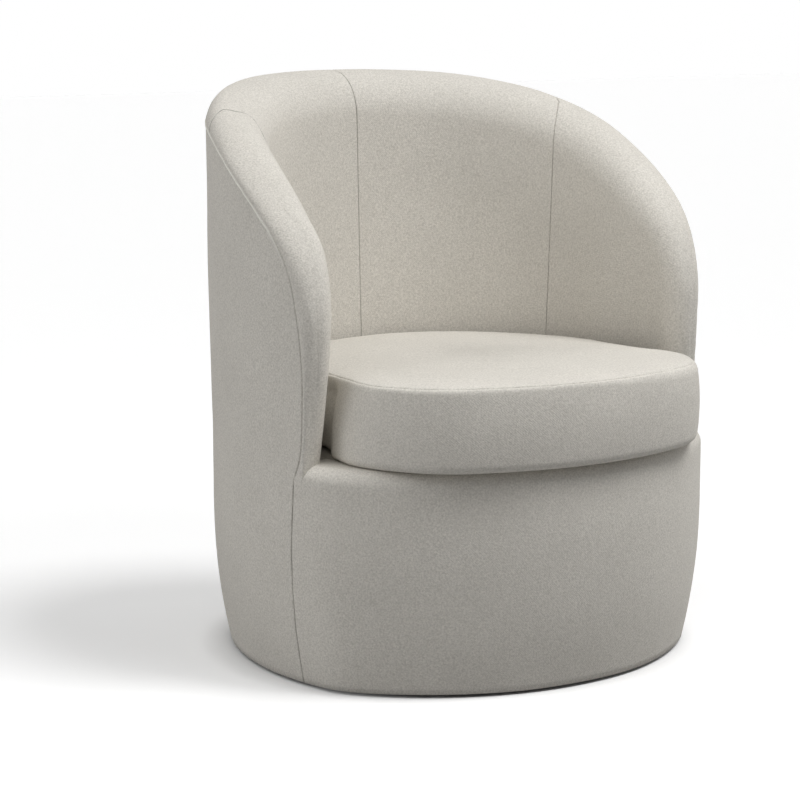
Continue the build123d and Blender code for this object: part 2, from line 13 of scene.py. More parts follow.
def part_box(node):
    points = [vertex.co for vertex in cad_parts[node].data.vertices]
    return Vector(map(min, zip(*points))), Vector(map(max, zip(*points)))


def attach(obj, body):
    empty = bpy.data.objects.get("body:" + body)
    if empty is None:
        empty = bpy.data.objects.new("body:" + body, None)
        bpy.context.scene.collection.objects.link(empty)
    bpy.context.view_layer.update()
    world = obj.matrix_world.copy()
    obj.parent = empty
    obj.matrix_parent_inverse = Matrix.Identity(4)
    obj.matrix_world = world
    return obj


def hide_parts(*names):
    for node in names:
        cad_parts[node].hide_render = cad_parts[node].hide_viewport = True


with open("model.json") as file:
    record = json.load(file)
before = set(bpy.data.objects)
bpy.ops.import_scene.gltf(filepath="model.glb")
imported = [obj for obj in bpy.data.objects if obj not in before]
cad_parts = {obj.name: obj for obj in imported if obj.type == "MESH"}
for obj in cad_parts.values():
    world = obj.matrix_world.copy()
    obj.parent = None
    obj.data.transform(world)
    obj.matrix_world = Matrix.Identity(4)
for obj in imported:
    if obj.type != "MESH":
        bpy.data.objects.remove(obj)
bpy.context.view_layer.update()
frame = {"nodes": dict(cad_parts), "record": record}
nodes = frame["nodes"]

# Sizes shared with the solids
HALF_WIDTH = 0.350
TURNS = np.radians([65.0, 105.0, 131.5])
SIDE_R, CORNER_R = 0.480, 0.119
OVERHANG = 0.014
RIM_H = 0.823
RIM_SLOPE = math.radians(4.4)
RIM_RADII = np.array([0.810, 0.186, 4.0])
RIM_TURNS = np.radians([39.1, 91.7, 105.0])
ARM_END = math.radians(94.7)
SIDE_WALL, BACK_WALL = 0.0875, 0.104
FLARE = math.radians(7.6)
LEAN = math.tan(math.radians(1.9))
DECK = 0.315
HEM, BULGE_Z, HEM_INSET = 0.009, 0.230, 0.0245
FRONT_ROUND, FRONT_RETURN = 0.022, 0.060

# Shape of the covers: how far they are drawn in, hollowed or crowned, and over which heights or lengths
FOOT = 0.005
HEM_FOLD = ((0.014, 0.0095), (0.007, 0.0060), (0.0025, 0.0042))
BASE_SEAM_Z = (0.009, 0.270)
BASE_SEAM_Y = (-0.1165, -0.1262)
BASE_CURL_Z = 0.23
KNEE_Z = 0.62
DRAW_POWER = 1.3
TAPER, TAPER_TOP, TAPER_RUN = 0.0054, 0.62, 0.30
HEM_EASE, HEM_EASE_TOP, HEM_EASE_RUN = 0.45, 0.32, 0.25
TIP_HOLLOW, HOLLOW_START, HOLLOW_RUN = 0.0165, 0.366, 0.14
HOLLOW_TOP, HOLLOW_FALL = 0.60, 0.28
ARM_CROWN = 0.008
INNER_TURNS, INNER_ROUNDS = np.radians([14.0, 55.0]), [0.065, 0.026]
ROUND_CLEAR = 0.011
DECK_TUCK, MIN_FACE = 0.012, 1e-4
WELL_AIM, AIM_RISE = np.array([0.0, -0.02]), 0.05

# Seams: their lines, how much painted shade is drawn along them and what the cloth does beside them
SIDE_SEAM_RIM, SIDE_SEAM_DECK = math.radians(68.5), math.radians(63.5)
SEAM_BOW, BOW_PEAK, BOW_END, BOW_POWER = 0.0605, 0.56, 0.89, 0.75
SEAM_SLANT, SLANT_END = 0.044, 0.55
SEAM_LIP, LIP_PLACE, LIP_WIDTH = 0.0015, 0.0022, 0.0014
UPPER_Z, UPPER_RUN, UPPER_NEAR = 0.57, 0.07, 0.006
STITCH, SEAM_CORE = 0.0009, 0.0004
# Strength of the painted shade along the seams: down the inside faces, on the rim seam, at the front, and over
# the rim on the right and left
FACE_SEAM_SHADE, RIM_SEAM_SHADE, FRONT_SEAM_SHADE = 0.55, 0.4, 1.0
RIGHT_RIM_SHADE, LEFT_RIM_SHADE = 0.3, 2.2
OUTSIDE_ROLL, FRONT_ROLL, INSIDE_ROLL, OPEN_SHARE = 0.0026, 0.0022, 0.0016, 0.9
PUCKER, PUCKER_PITCH, PUCKER_RUN = 0.0004, 0.024, 0.012
SAG, SAG_PITCH, SAG_RUN, SAG_SEED = 0.0006, 0.16, 0.03, 7
PUFF, PUFF_RUN = 0.0012, 0.035

# Fineness of the meshes, ranges and rounds of the solvers, and guards
SHARES_DROP = np.array([0, 0.06, 0.14, 0.24, 0.36, 0.5, 0.7, 1.0])
SHARES_OUT = np.linspace(0, 1, 18)
SHARES_LAND = np.linspace(0, 1, 12)
SHARES_IN = np.linspace(0, 1, 17)
FINE_STEPS = np.array([0, 0.0004, 0.0009, 0.0015, 0.0022, 0.003, 0.0042, 0.006, 0.009, 0.013])
BACK_STATIONS, ARM_STATIONS, RIM_SAMPLES, FACE_ROWS = 170, 330, 3000, 58
LOW_ROWS, FRONT_ROWS, BEND_ROWS, SHELF_ROWS = 32, 34, 13, 7
BACK_LENGTH, ARM_LENGTH, INSIDE_STEP = 0.33, 0.62, 0.007
OUTSIDE_LENGTH, OUTSIDE_HEIGHT, FRONT_LENGTH, OUTSIDE_STEP = 0.44, 0.46, 0.83, 0.009
TURN_LIMIT, BACK_LIMIT, LENGTH_LIMIT = 2.6, math.pi * 0.75, 0.9
RIM_FIRST, RIM_LAST = RIM_SLOPE - 0.1, math.pi / 2
GUESS_INSET, GUESS_DROP, GUESS_Z, GUESS_TURN = 0.02, 0.05, 0.74, 0.3
HALVINGS, BACK_ROUNDS, ARM_ROUNDS = 50, 4, 3
HEIGHT_ROUNDS, TURN_ROUNDS, LENGTH_ROUNDS = 12, 3, 6
FAR, BATCH = 9.0, 4000
SMALL, TINY = 1e-9, 1e-12
WELD, SLIVER = 2e-5, 1e-6
MIRROR = np.array([-1.0, 1.0, 1.0])

sin_t, cos_t = np.sin(TURNS), np.cos(TURNS)
BACK_R = SIDE_R - (SIDE_R - HALF_WIDTH) / sin_t[0]
FRONT_R = CORNER_R + ((BACK_R - SIDE_R) * sin_t[0] + (SIDE_R - CORNER_R) * sin_t[1]) / sin_t[2]
FRONT_SHIFT = (BACK_R - SIDE_R) * cos_t[0] + (SIDE_R - CORNER_R) * cos_t[1] + (CORNER_R - FRONT_R) * cos_t[2]
BACK_C = (FRONT_R - FRONT_SHIFT + OVERHANG - BACK_R) / 2
BACK_Y = BACK_C + BACK_R
FRONT_Y = BACK_C + FRONT_SHIFT - FRONT_R
RADII = np.array([BACK_R, SIDE_R, CORNER_R, FRONT_R])
CENTRES = np.zeros((4, 2))
CENTRES[0] = (0.0, BACK_C)
for i in range(3):
    CENTRES[i + 1] = CENTRES[i] + (RADII[i] - RADII[i + 1]) * np.array([sin_t[i], cos_t[i]])
CENTRES[3, 0] = 0.0
WELL_R = HALF_WIDTH - SIDE_WALL
WELL_ARC = WELL_R * (math.pi / 2 - FLARE)
BULGE_R = (HEM_INSET**2 + (BULGE_Z - HEM) ** 2) / (2 * HEM_INSET)
RIM_CENTRES = np.zeros((3, 2))
RIM_CENTRES[0] = np.array([BACK_Y, RIM_H])
RIM_CENTRES[0] -= RIM_RADII[0] * np.array([-math.sin(RIM_SLOPE), math.cos(RIM_SLOPE)])
for i in range(2):
    joint = np.array([-math.sin(RIM_TURNS[i]), math.cos(RIM_TURNS[i])])
    RIM_CENTRES[i + 1] = RIM_CENTRES[i] + (RIM_RADII[i] - RIM_RADII[i + 1]) * joint


def run_along(points, axis=0):
    """Length run along rows of points, from 0."""
    run = np.cumsum(np.linalg.norm(np.diff(points, axis=axis), axis=-1), axis)
    pad = [(0, 0)] * run.ndim
    pad[axis] = (1, 0)
    return np.pad(run, pad)


def at_height(xy, z):
    """Points from plan points and their heights."""
    return np.concatenate([xy, np.broadcast_to(z, xy.shape[:-1])[..., None]], -1)


def both_halves(half):
    """Half an outline from the middle of the back, and its mirror image back again."""
    return np.concatenate([half, half[::-1] * MIRROR[:2]])


def ease(t):
    t = np.clip(t, 0, 1)
    return t * t * (3 - 2 * t)


def ramp(value, start, run):
    """Share that eases from 0 at start to 1 at the end of a signed run."""
    return ease((value - start) / run)


def plan(turn, inset=0.0):
    """Points of the plan outline, by the turn of its normal from the back, drawn in by inset."""
    turn = np.asarray(turn, float)
    k = np.searchsorted(TURNS, turn)
    r = RADII[k] - inset
    return np.stack([CENTRES[k, 0] + r * np.sin(turn), CENTRES[k, 1] + r * np.cos(turn)], -1)


def rim(turn, inset=0.0):
    """(y, z) of the rim line in side view, by the turn of its normal from straight up."""
    turn = np.asarray(turn, float)
    k = np.minimum(np.searchsorted(RIM_TURNS, turn), 2)
    r = RIM_RADII[k] - inset
    return np.stack([RIM_CENTRES[k, 0] - r * np.sin(turn), RIM_CENTRES[k, 1] + r * np.cos(turn)], -1)


def rim_normal(turn):
    turn = np.asarray(turn, float)
    return np.stack([np.zeros_like(turn), -np.sin(turn), np.cos(turn)], -1)


def well_mid(z):
    return BACK_Y - BACK_WALL - (RIM_H - z) * LEAN - WELL_R


def well(s, z):
    """Point on the inside face and its normal into the well, by length round from the back and height."""
    s, z = np.broadcast_arrays(np.asarray(s, float), np.asarray(z, float))
    a = np.clip(s, 0, WELL_ARC) / WELL_R
    t = np.maximum(s - WELL_ARC, 0)
    x = WELL_R * np.sin(a) + t * math.sin(FLARE)
    y = well_mid(z) + WELL_R * np.cos(a) - t * math.cos(FLARE)
    n = np.stack([-np.sin(a), -np.cos(a), LEAN * np.cos(a)], -1)
    return np.stack([x, y, z], -1), n / np.linalg.norm(n, axis=-1, keepdims=True)


def well_face(s, z):
    """The inside face as upholstered: hollowed behind the arm's lower tip."""
    p, n = well(s, z)
    depth = TIP_HOLLOW * np.clip((HOLLOW_TOP - p[..., 2]) / HOLLOW_FALL, 0, 1) ** DRAW_POWER
    p[..., 0] += depth * ramp(s, HOLLOW_START, HOLLOW_RUN)
    return p, n


def solve(func, low, high, shape):
    """Root of a falling function of each entry, by halving."""
    lo, hi = np.full(shape, low, float), np.full(shape, high, float)
    for _ in range(HALVINGS):
        mid = (lo + hi) / 2
        above_zero = func(mid) > 0
        lo, hi = np.where(above_zero, mid, lo), np.where(above_zero, hi, mid)
    return (lo + hi) / 2


def outer_turn(y, inset):
    """Turn of the plan outline's normal where it passes y."""
    return solve(lambda q: plan(q, inset)[..., 1] - y, 0.0, TURN_LIMIT, y.shape)


def rim_turn_for(y, inset):
    """Turn of the rim line's normal where it passes y."""
    return solve(lambda q: rim(q, inset)[..., 0] - y, RIM_FIRST, RIM_LAST, y.shape)


def turn_about_well(angle):
    """Turns of the plan outline's normal at bearings from the middle of the well."""
    mid = well_mid(RIM_H - GUESS_DROP)

    def miss(q):
        p = plan(q, GUESS_INSET)
        return angle - np.arctan2(p[..., 0], p[..., 1] - mid)

    return solve(miss, 0.0, BACK_LIMIT, angle.shape)


def bulge_inset(z, face=0.0):
    drop = np.maximum(BULGE_Z - np.asarray(z, float), 0)
    return BULGE_R - np.sqrt((BULGE_R - face) ** 2 - drop**2)


def taper(z):
    """How far the sides draw in below the arms, easing again towards the hem."""
    z = np.asarray(z, float)
    drawn = TAPER * np.clip((TAPER_TOP - z) / TAPER_RUN, 0, 1) ** DRAW_POWER
    return drawn * (1 - HEM_EASE * np.clip((HEM_EASE_TOP - z) / HEM_EASE_RUN, 0, 1))


def body_point(turn, z):
    """Point on the outside of the barrel."""
    return at_height(plan(turn, bulge_inset(z) + taper(z)), z)


def slerp(a, b, t):
    """Directions from a to b, for a row of shares t."""
    dot = np.clip((a * b).sum(-1), -1, 1)
    w = np.arccos(dot)[:, None, None]
    t = np.asarray(t)[None, :, None]
    a, b = a[:, None, :], b[:, None, :]
    return (np.sin((1 - t) * w) * a + np.sin(t * w) * b) / np.maximum(np.sin(w), SMALL)


def graded(length, step, fine_start=True, fine_end=True):
    """Shares from 0 to 1 along a length, close together where a seam ends it."""
    fine = FINE_STEPS / length
    lo = fine if fine_start else np.array([0.0])
    hi = 1 - fine[::-1] if fine_end else np.array([1.0])
    count = max(2, int((hi[0] - lo[-1]) * length / step))
    return np.concatenate([lo, np.linspace(lo[-1], hi[0], count + 1)[1:-1], hi])


def round_out(z):
    """Rounding of the rim's outside edge, by the rim's height: full at the back, crisp along the arm."""
    levels = [0.285, 0.40, 0.44, 0.49, 0.60, 0.67, 0.73, 0.752, 0.766, 0.79, 0.815]
    return np.interp(z, levels, np.array([4.5, 4.5, 6.5, 9, 10.5, 9.5, 10.5, 12.5, 16, 27, 30]) / 1000)


def seam_drop(z):
    """Distance of the outside seam below that rounding, by the rim's height."""
    levels = [0.285, 0.297, 0.310, 0.326, 0.345, 0.42, 0.48, 0.52, 0.55, 0.60, 0.64, 0.69]
    return np.interp(z, levels, np.array([14.5, 12.5, 8, 4, 2, 2.5, 6, 10.5, 10, 7, 3.5, 2]) / 1000)


def edge_axes(rim_z):
    """Reach inward and upward of the rim's outside rounding: broad along the arms, tight at their feet."""
    levels = [0.30, 0.40, 0.50, 0.58, 0.74, 0.79]
    inward = np.interp(rim_z, levels, [0.006, 0.010, 0.030, 0.047, 0.047, 0.030])
    return inward, round_out(rim_z) + seam_drop(rim_z) * np.interp(rim_z, [0.36, 0.46], [0.0, 0.7])


def fit_reach(reach, out_turn, rim_z, in_len, in_z, round_in):
    """The inward reach, kept clear of the inside rounding."""
    p_in, n_in = well_face(in_len, in_z)
    room = plan(out_turn, taper(rim_z)) - (p_in - round_in[:, None] * n_in)[:, :2]
    return np.minimum(reach, np.linalg.norm(room, axis=1) - ROUND_CLEAR)


def crown(rim_z):
    """Rise of the rim's middle over its two roundings: along the arms only."""
    return ARM_CROWN * np.interp(rim_z, [0.32, 0.45, 0.74, 0.80], [0, 1, 1, 0])


def inner_round(turn):
    """Rounding of the rim's inside edge: fuller at the back than at the arm's tip."""
    return np.interp(turn, INNER_TURNS, INNER_ROUNDS)


def wall_strip(rim_out, out_turn, reach, up, in_len, in_z, rim_in, round_in):
    """Points over the rim, from the outside seam to the start of the inside face, a column a station."""
    rim_z = rim(rim_out)[:, 1]
    drop = round_out(rim_z) + seam_drop(rim_z) - up
    c_out = at_height(plan(out_turn, reach + taper(rim_z)), rim(rim_out, up)[:, 1])
    n_out = np.stack([np.sin(out_turn), np.cos(out_turn), np.zeros_like(out_turn)], -1)
    below = []
    for share in SHARES_DROP[:-1]:
        down = drop * (1 - share)
        z = c_out[:, 2] - down * np.cos(rim_out)
        turn = out_turn - down * np.sin(rim_out) * np.sin(out_turn) / SIDE_R
        below.append(body_point(np.maximum(turn, 0), z))
    p_in, n_in = well_face(in_len, in_z)
    c_in = p_in - round_in[:, None] * n_in
    quarter = SHARES_OUT[None, :, None] * math.pi / 2
    outer = c_out[:, None, :] + (reach[:, None] * n_out)[:, None] * np.cos(quarter)
    outer = outer + (up[:, None] * rim_normal(rim_out))[:, None] * np.sin(quarter)
    inner = c_in[:, None, :] + round_in[:, None, None] * slerp(rim_normal(rim_in), n_in, SHARES_IN)
    share = SHARES_LAND[None, 1:-1]
    turn = rim_out[:, None] * (1 - share) + rim_in[:, None] * share
    x = c_out[:, :1] * (1 - share) + c_in[:, :1] * share
    land = np.concatenate([x[..., None], rim(turn)], -1)
    arch = np.concatenate([outer, land, inner], 1)
    run = run_along(arch, 1)
    lift = crown(rim_z)[:, None] * np.sin(math.pi * run / run[:, -1:])
    arch = arch + lift[..., None] * rim_normal(rim_out)[:, None]
    return np.concatenate([np.stack(below, 1), arch], 1)


def inside_station(in_len):
    """Height of the inside face's top edge and the rim's turn there, for stations round the back."""
    z = np.full(in_len.shape, GUESS_Z)
    for _ in range(HEIGHT_ROUNDS):
        turn = np.full(in_len.shape, GUESS_TURN)
        p, n = well(in_len, z)
        for _ in range(TURN_ROUNDS):
            r = inner_round(turn)
            turn = rim_turn_for(p[:, 1] - r * n[:, 1], r)
        z = rim(turn, r)[:, 1] + r * n[:, 2]
    return z, turn, r


def arm_station(turn):
    """Length round the inside face and height of its top edge, for the rim's turns along the arm."""
    r = inner_round(turn)
    yz = rim(turn, r)
    z = yz[:, 1].copy()

    def miss(q):
        p, n = well(q, z)
        return p[..., 1] - r * n[..., 1] - yz[:, 0]

    for _ in range(LENGTH_ROUNDS):
        s = solve(miss, 0.0, LENGTH_LIMIT, turn.shape)
        z = yz[:, 1] + r * well(s, z)[1][..., 2]
    return s, z, r


def near(points, line):
    """Least distance from each point to a line of points."""
    flat = points.reshape(-1, 3)
    a, d = line[:-1], np.diff(line, axis=0)
    best = np.full(len(flat), FAR)
    for i in range(0, len(flat), BATCH):
        rel = flat[i : i + BATCH, None, :] - a[None]
        t = np.clip((rel * d[None]).sum(-1) / np.maximum((d**2).sum(-1), TINY)[None], 0, 1)
        best[i : i + BATCH] = np.sqrt(((rel - t[..., None] * d[None]) ** 2).sum(-1)).min(1)
    return best.reshape(points.shape[:-1])


def grid_normals(g):
    du, dv = np.gradient(g, axis=0), np.gradient(g, axis=1)
    n = np.cross(du, dv)
    return n / np.maximum(np.linalg.norm(n, axis=-1, keepdims=True), TINY)


def ripple(p, scale, seed):
    """Smooth, fixed unevenness between about -1 and 1."""
    rng = np.random.default_rng(seed)
    waves = 7
    total = np.zeros(p.shape[:-1])
    for _ in range(waves):
        k = rng.normal(size=3)
        k *= 2 * math.pi / scale / np.linalg.norm(k) * rng.uniform(0.6, 1.5)
        total += np.sin(p @ k + rng.uniform(0, 6.28))
    return total / (waves / 2)


def sew(g, outward, seams, seed, radius, puff=0.0, lip=0.0, upper=0.0, seam_shade=1.0, first_seam_shade=RIM_SEAM_SHADE):
    """Roll the cloth in at its seams, raise it by lip and let it swell a little between them.

    The first seam lies open where upper is 1, so no painted shade is drawn along it there. Returned with the
    grid is its painted seam shading: above 0 for painted shade in the seam grooves and below 0 for a painted
    highlight along the lip.
    """
    n = grid_normals(g)
    if np.nanmean((n * outward(g)).sum(-1)) < 0:
        n = -n
    first = near(g, seams[0])
    rest = np.minimum.reduce([near(g, line) for line in seams[1:]])
    d = np.minimum(first, rest)
    inside = np.minimum(d, radius)
    roll = (radius - np.sqrt(radius**2 - (radius - inside) ** 2)) * (1 - OPEN_SHARE * upper)
    pucker = PUCKER * ripple(g, PUCKER_PITCH, seed) * np.exp(-d / PUCKER_RUN) * (d > SEAM_CORE)
    sag = SAG * ripple(g, SAG_PITCH, seed + SAG_SEED) * (1 - np.exp(-d / SAG_RUN))
    raised = puff * (1 - np.exp(-d / PUFF_RUN)) + sag
    # Painted shade: a dark line along each seam takes the place of the shade in its groove, less a painted
    # highlight over the lip
    edge = first_seam_shade * np.exp(-((first / STITCH) ** 2)) * (1 - upper)
    painted_seam_shading = np.maximum(edge, seam_shade * np.exp(-((rest / STITCH) ** 2))) - lip / SEAM_LIP
    return g + n * (raised + pucker - roll + lip)[..., None], painted_seam_shading


def lengths(g):
    """Cloth coordinates of a grid, in metres along it."""
    u, v = run_along(g, 0), run_along(g, 1)
    middle = u.shape[1] // 2
    return np.stack([np.broadcast_to(u[:, middle : middle + 1], u.shape), v], -1)


def link(obj):
    bpy.context.scene.collection.objects.link(obj)
    return obj


def finish_mesh(name, mesh, material):
    """Weld the grids' shared edges and make a smooth object of the mesh."""
    bm = bmesh.new()
    bm.from_mesh(mesh)
    bmesh.ops.remove_doubles(bm, verts=bm.verts, dist=WELD)
    bmesh.ops.dissolve_degenerate(bm, dist=SLIVER, edges=bm.edges)
    bm.to_mesh(mesh)
    bm.free()
    mesh.polygons.foreach_set("use_smooth", np.ones(len(mesh.polygons), bool))
    mesh.update()
    obj = link(bpy.data.objects.new(name, mesh))
    obj.data.materials.append(material)
    return obj


def mesh_of(name, grids, material, mirrored, outward):
    """One smooth object from grids of points that share edges."""
    verts, faces, uvs, painted_seam_shadings, base = [], [], [], [], 0
    for g, painted_seam_shading in grids:
        uv = lengths(g)
        if mirrored:
            g = g * MIRROR
        nu, nv = g.shape[:2]
        idx = base + np.arange(nu * nv).reshape(nu, nv)
        quad = np.stack([idx[:-1, :-1], idx[1:, :-1], idx[1:, 1:], idx[:-1, 1:]], -1).reshape(-1, 4)
        if np.nanmean((grid_normals(g) * outward(g)).sum(-1)) < 0:
            quad = quad[:, ::-1]
        verts.append(g.reshape(-1, 3))
        uvs.append(uv.reshape(-1, 2))
        painted_seam_shadings.append(np.broadcast_to(painted_seam_shading, g.shape[:-1]).ravel())
        faces.append(quad)
        base += nu * nv
    verts, uvs, faces = np.concatenate(verts), np.concatenate(uvs), np.concatenate(faces)
    mesh = bpy.data.meshes.new(name)
    mesh.from_pydata(verts.tolist(), [], faces.tolist())
    layer = mesh.uv_layers.new(name="cloth")
    loops = np.zeros(len(mesh.loops), np.int32)
    mesh.loops.foreach_get("vertex_index", loops)
    layer.data.foreach_set("uv", uvs[loops].astype(np.float32).ravel())
    # Painted seam light for the cloth: painted shade above 0, painted highlight below 0
    seam = mesh.attributes.new("seam", "FLOAT", "POINT")
    seam.data.foreach_set("value", np.concatenate(painted_seam_shadings).astype(np.float32))
    return finish_mesh(name, mesh, material)


# Materials
MIX_A, MIX_B, MIX_RESULT = 6, 7, 2


def nodes_of(name):
    mat = bpy.data.materials.new(name)
    mat.use_nodes = True
    tree = mat.node_tree
    return mat, tree, tree.nodes["Principled BSDF"]


def node(tree, kind, **values):
    made = tree.nodes.new(kind)
    for key, value in values.items():
        if key in made.inputs:
            made.inputs[key].default_value = value
        else:
            setattr(made, key, value)
    return made


def feed(tree, socket, value):
    """Set a socket to a number or link it to another socket."""
    if isinstance(value, (int, float)):
        socket.default_value = value
    else:
        tree.links.new(value, socket)


def maths(tree, operation, a, b=None):
    made = node(tree, "ShaderNodeMath", operation=operation)
    feed(tree, made.inputs[0], a)
    if b is not None:
        feed(tree, made.inputs[1], b)
    return made.outputs[0]


def mix_colour(tree, share, a, b):
    made = node(tree, "ShaderNodeMix", data_type="RGBA")
    feed(tree, made.inputs["Factor"], share)
    for key, value in ((MIX_A, a), (MIX_B, b)):
        if isinstance(value, tuple):
            made.inputs[key].default_value = (*value, 1.0)
        else:
            tree.links.new(value, made.inputs[key])
    return made.outputs[MIX_RESULT]


def noise(tree, vector, scale, detail, rough):
    made = node(tree, "ShaderNodeTexNoise", Scale=scale, Detail=detail, Roughness=rough)
    tree.links.new(vector, made.inputs["Vector"])
    return made.outputs["Fac"]


def span(tree, value, low, high, to_low=0.0, to_high=1.0):
    made = node(tree, "ShaderNodeMapRange")
    tree.links.new(value, made.inputs["Value"])
    for key, number in (("From Min", low), ("From Max", high), ("To Min", to_low), ("To Max", to_high)):
        made.inputs[key].default_value = number
    return made.outputs["Result"]


def relief(tree, shader, height, strength, distance):
    bump = node(tree, "ShaderNodeBump", Strength=strength, Distance=distance)
    tree.links.new(height, bump.inputs["Height"])
    tree.links.new(bump.outputs["Normal"], shader.inputs["Normal"])


def seen_rays(tree):
    """1 for rays that show a surface as it looks: from the camera, in a gloss or through glass."""
    ray = node(tree, "ShaderNodeLightPath")
    seen = maths(tree, "MAXIMUM", ray.outputs["Is Camera Ray"], ray.outputs["Is Glossy Ray"])
    return maths(tree, "MAXIMUM", seen, ray.outputs["Is Transmission Ray"])


def shade(colour, share):
    return tuple(min(1.0, c * share) for c in colour)


def woven(name, light, dark, pitch, threads="UV"):
    """Matte woven cloth: flecked yarn, an over-and-under weave and a soft nap."""
    mat, tree, shader = nodes_of(name)
    coords = node(tree, "ShaderNodeTexCoord")
    place = coords.outputs["Object"]
    split = node(tree, "ShaderNodeSeparateXYZ")
    tree.links.new(coords.outputs[threads], split.inputs[0])
    k = math.pi / pitch
    warp = maths(tree, "SINE", maths(tree, "MULTIPLY", split.outputs["X"], k))
    weft = maths(tree, "SINE", maths(tree, "MULTIPLY", split.outputs["Y"], k))
    weave = maths(tree, "MULTIPLY", warp, weft)
    fleck = noise(tree, place, scale=410.0, detail=3.0, rough=0.6)
    grain = noise(tree, place, scale=240.0, detail=2.0, rough=0.5)
    cloud = noise(tree, place, scale=9.0, detail=3.0, rough=0.55)
    tone = mix_colour(tree, span(tree, fleck, 0.34, 0.66), dark, light)
    tone = mix_colour(tree, span(tree, grain, 0.32, 0.72, to_high=0.4), tone, shade(light, 0.82))
    tone = mix_colour(tree, span(tree, cloud, 0.35, 0.7, to_high=0.12), tone, shade(dark, 0.8))
    seam = node(tree, "ShaderNodeAttribute", attribute_name="seam").outputs["Fac"]
    # Painted shade along the seams where the attribute is above 0, and a painted highlight on the rim seam's
    # lip where it is below 0
    tone = mix_colour(tree, span(tree, seam, 0.0, 1.0, to_high=0.5), tone, shade(dark, 0.22))
    tone = mix_colour(tree, span(tree, seam, 0.0, -1.0, to_high=0.95), tone, shade(light, 1.28))
    tree.links.new(tone, shader.inputs["Base Color"])
    tree.links.new(span(tree, fleck, 0.3, 0.7, 0.97, 0.86), shader.inputs["Roughness"])
    shader.inputs["Specular IOR Level"].default_value = 0.18
    shader.inputs["Sheen Weight"].default_value = 0.2
    shader.inputs["Sheen Roughness"].default_value = 0.45
    shader.inputs["Sheen Tint"].default_value = (*light, 1.0)
    height = maths(tree, "ADD", maths(tree, "MULTIPLY", fleck, 1.3), maths(tree, "MULTIPLY", weave, 0.22))
    relief(tree, shader, height, strength=0.6, distance=0.0008)
    return mat


def surface(name, light, dark, stretch, scale, rough, height, metallic=0.0, cells=False):
    """Finish with a drawn-out grain or cells in its colour, its roughness and its relief."""
    mat, tree, shader = nodes_of(name)
    coords = node(tree, "ShaderNodeTexCoord")
    drawn = node(tree, "ShaderNodeMapping")
    drawn.inputs["Scale"].default_value = stretch
    tree.links.new(coords.outputs["Object"], drawn.inputs["Vector"])
    fine = noise(tree, drawn.outputs["Vector"], scale, detail=4.0, rough=0.6)
    if cells:
        flakes = node(tree, "ShaderNodeTexVoronoi", Scale=scale)
        tree.links.new(drawn.outputs["Vector"], flakes.inputs["Vector"])
        split = node(tree, "ShaderNodeSeparateColor")
        tree.links.new(flakes.outputs["Color"], split.inputs[0])
        fine = maths(tree, "ADD", *[maths(tree, "MULTIPLY", part, 0.5) for part in (split.outputs[0], fine)])
    wide = noise(tree, coords.outputs["Object"], scale=6.0, detail=2.0, rough=0.5)
    tone = mix_colour(tree, span(tree, fine, 0.3, 0.7), dark, light)
    tone = mix_colour(tree, span(tree, wide, 0.35, 0.7, to_high=0.25), tone, dark)
    tree.links.new(tone, shader.inputs["Base Color"])
    tree.links.new(span(tree, fine, 0.25, 0.75, *rough), shader.inputs["Roughness"])
    shader.inputs["Metallic"].default_value = metallic
    relief(tree, shader, fine, strength=0.4, distance=height)
    return mat


fabric = woven("greige_weave", light=(0.803, 0.771, 0.710), dark=(0.551, 0.525, 0.475), pitch=0.0016)
deck_weave = woven("deck_weave", light=(0.56, 0.535, 0.49), dark=(0.37, 0.355, 0.32), pitch=0.0011)
# Each slot's finish: name, light, dark, stretch, scale, roughness, relief, metallic, cells
FELT = ("dust_felt", (0.045, 0.045, 0.047), (0.012, 0.012, 0.013), (1, 4, 1), 260.0, (0.98, 0.85), 0.0003)
PLY = ("birch_ply", (0.66, 0.50, 0.31), (0.47, 0.33, 0.18), (1, 12, 12), 22.0, (0.75, 0.6), 0.0003)
PLATE = ("zinc_plate", (0.58, 0.59, 0.61), (0.36, 0.37, 0.39), (1, 1, 1), 90.0, (0.5, 0.3), 0.0001, 1.0, True)
STEEL = ("bright_zinc", (0.68, 0.68, 0.70), (0.50, 0.50, 0.53), (1, 1, 14), 210.0, (0.38, 0.2), 0.00005, 1.0)
NYLON = ("nylon", (0.10, 0.10, 0.10), (0.055, 0.055, 0.055), (1, 1, 1), 420.0, (0.6, 0.42), 0.0001)
BUSH = ("sintered_bronze", (0.66, 0.46, 0.23), (0.42, 0.27, 0.12), (1, 1, 1), 900.0, (0.55, 0.35), 0.0001, 1.0)
black_felt = surface(*FELT)
finishes = {
    "plywood": surface(*PLY),
    "pressed_steel": surface(*PLATE),
    "hardware_steel": surface(*STEEL),
    "glide_nylon": surface(*NYLON),
    "bush_bronze": surface(*BUSH),
    "webbing": woven("jute_webbing", (0.42, 0.31, 0.19), (0.20, 0.14, 0.085), 0.0024, "Object"),
    "zip_tape": woven("zip_tape", (0.56, 0.53, 0.48), (0.40, 0.375, 0.335), 0.0008, "Object"),
}
for row in frame["record"]["subparts"]:
    for holder in nodes[row["node"]].material_slots:
        holder.material = finishes.get(row["material_slot"], fabric)

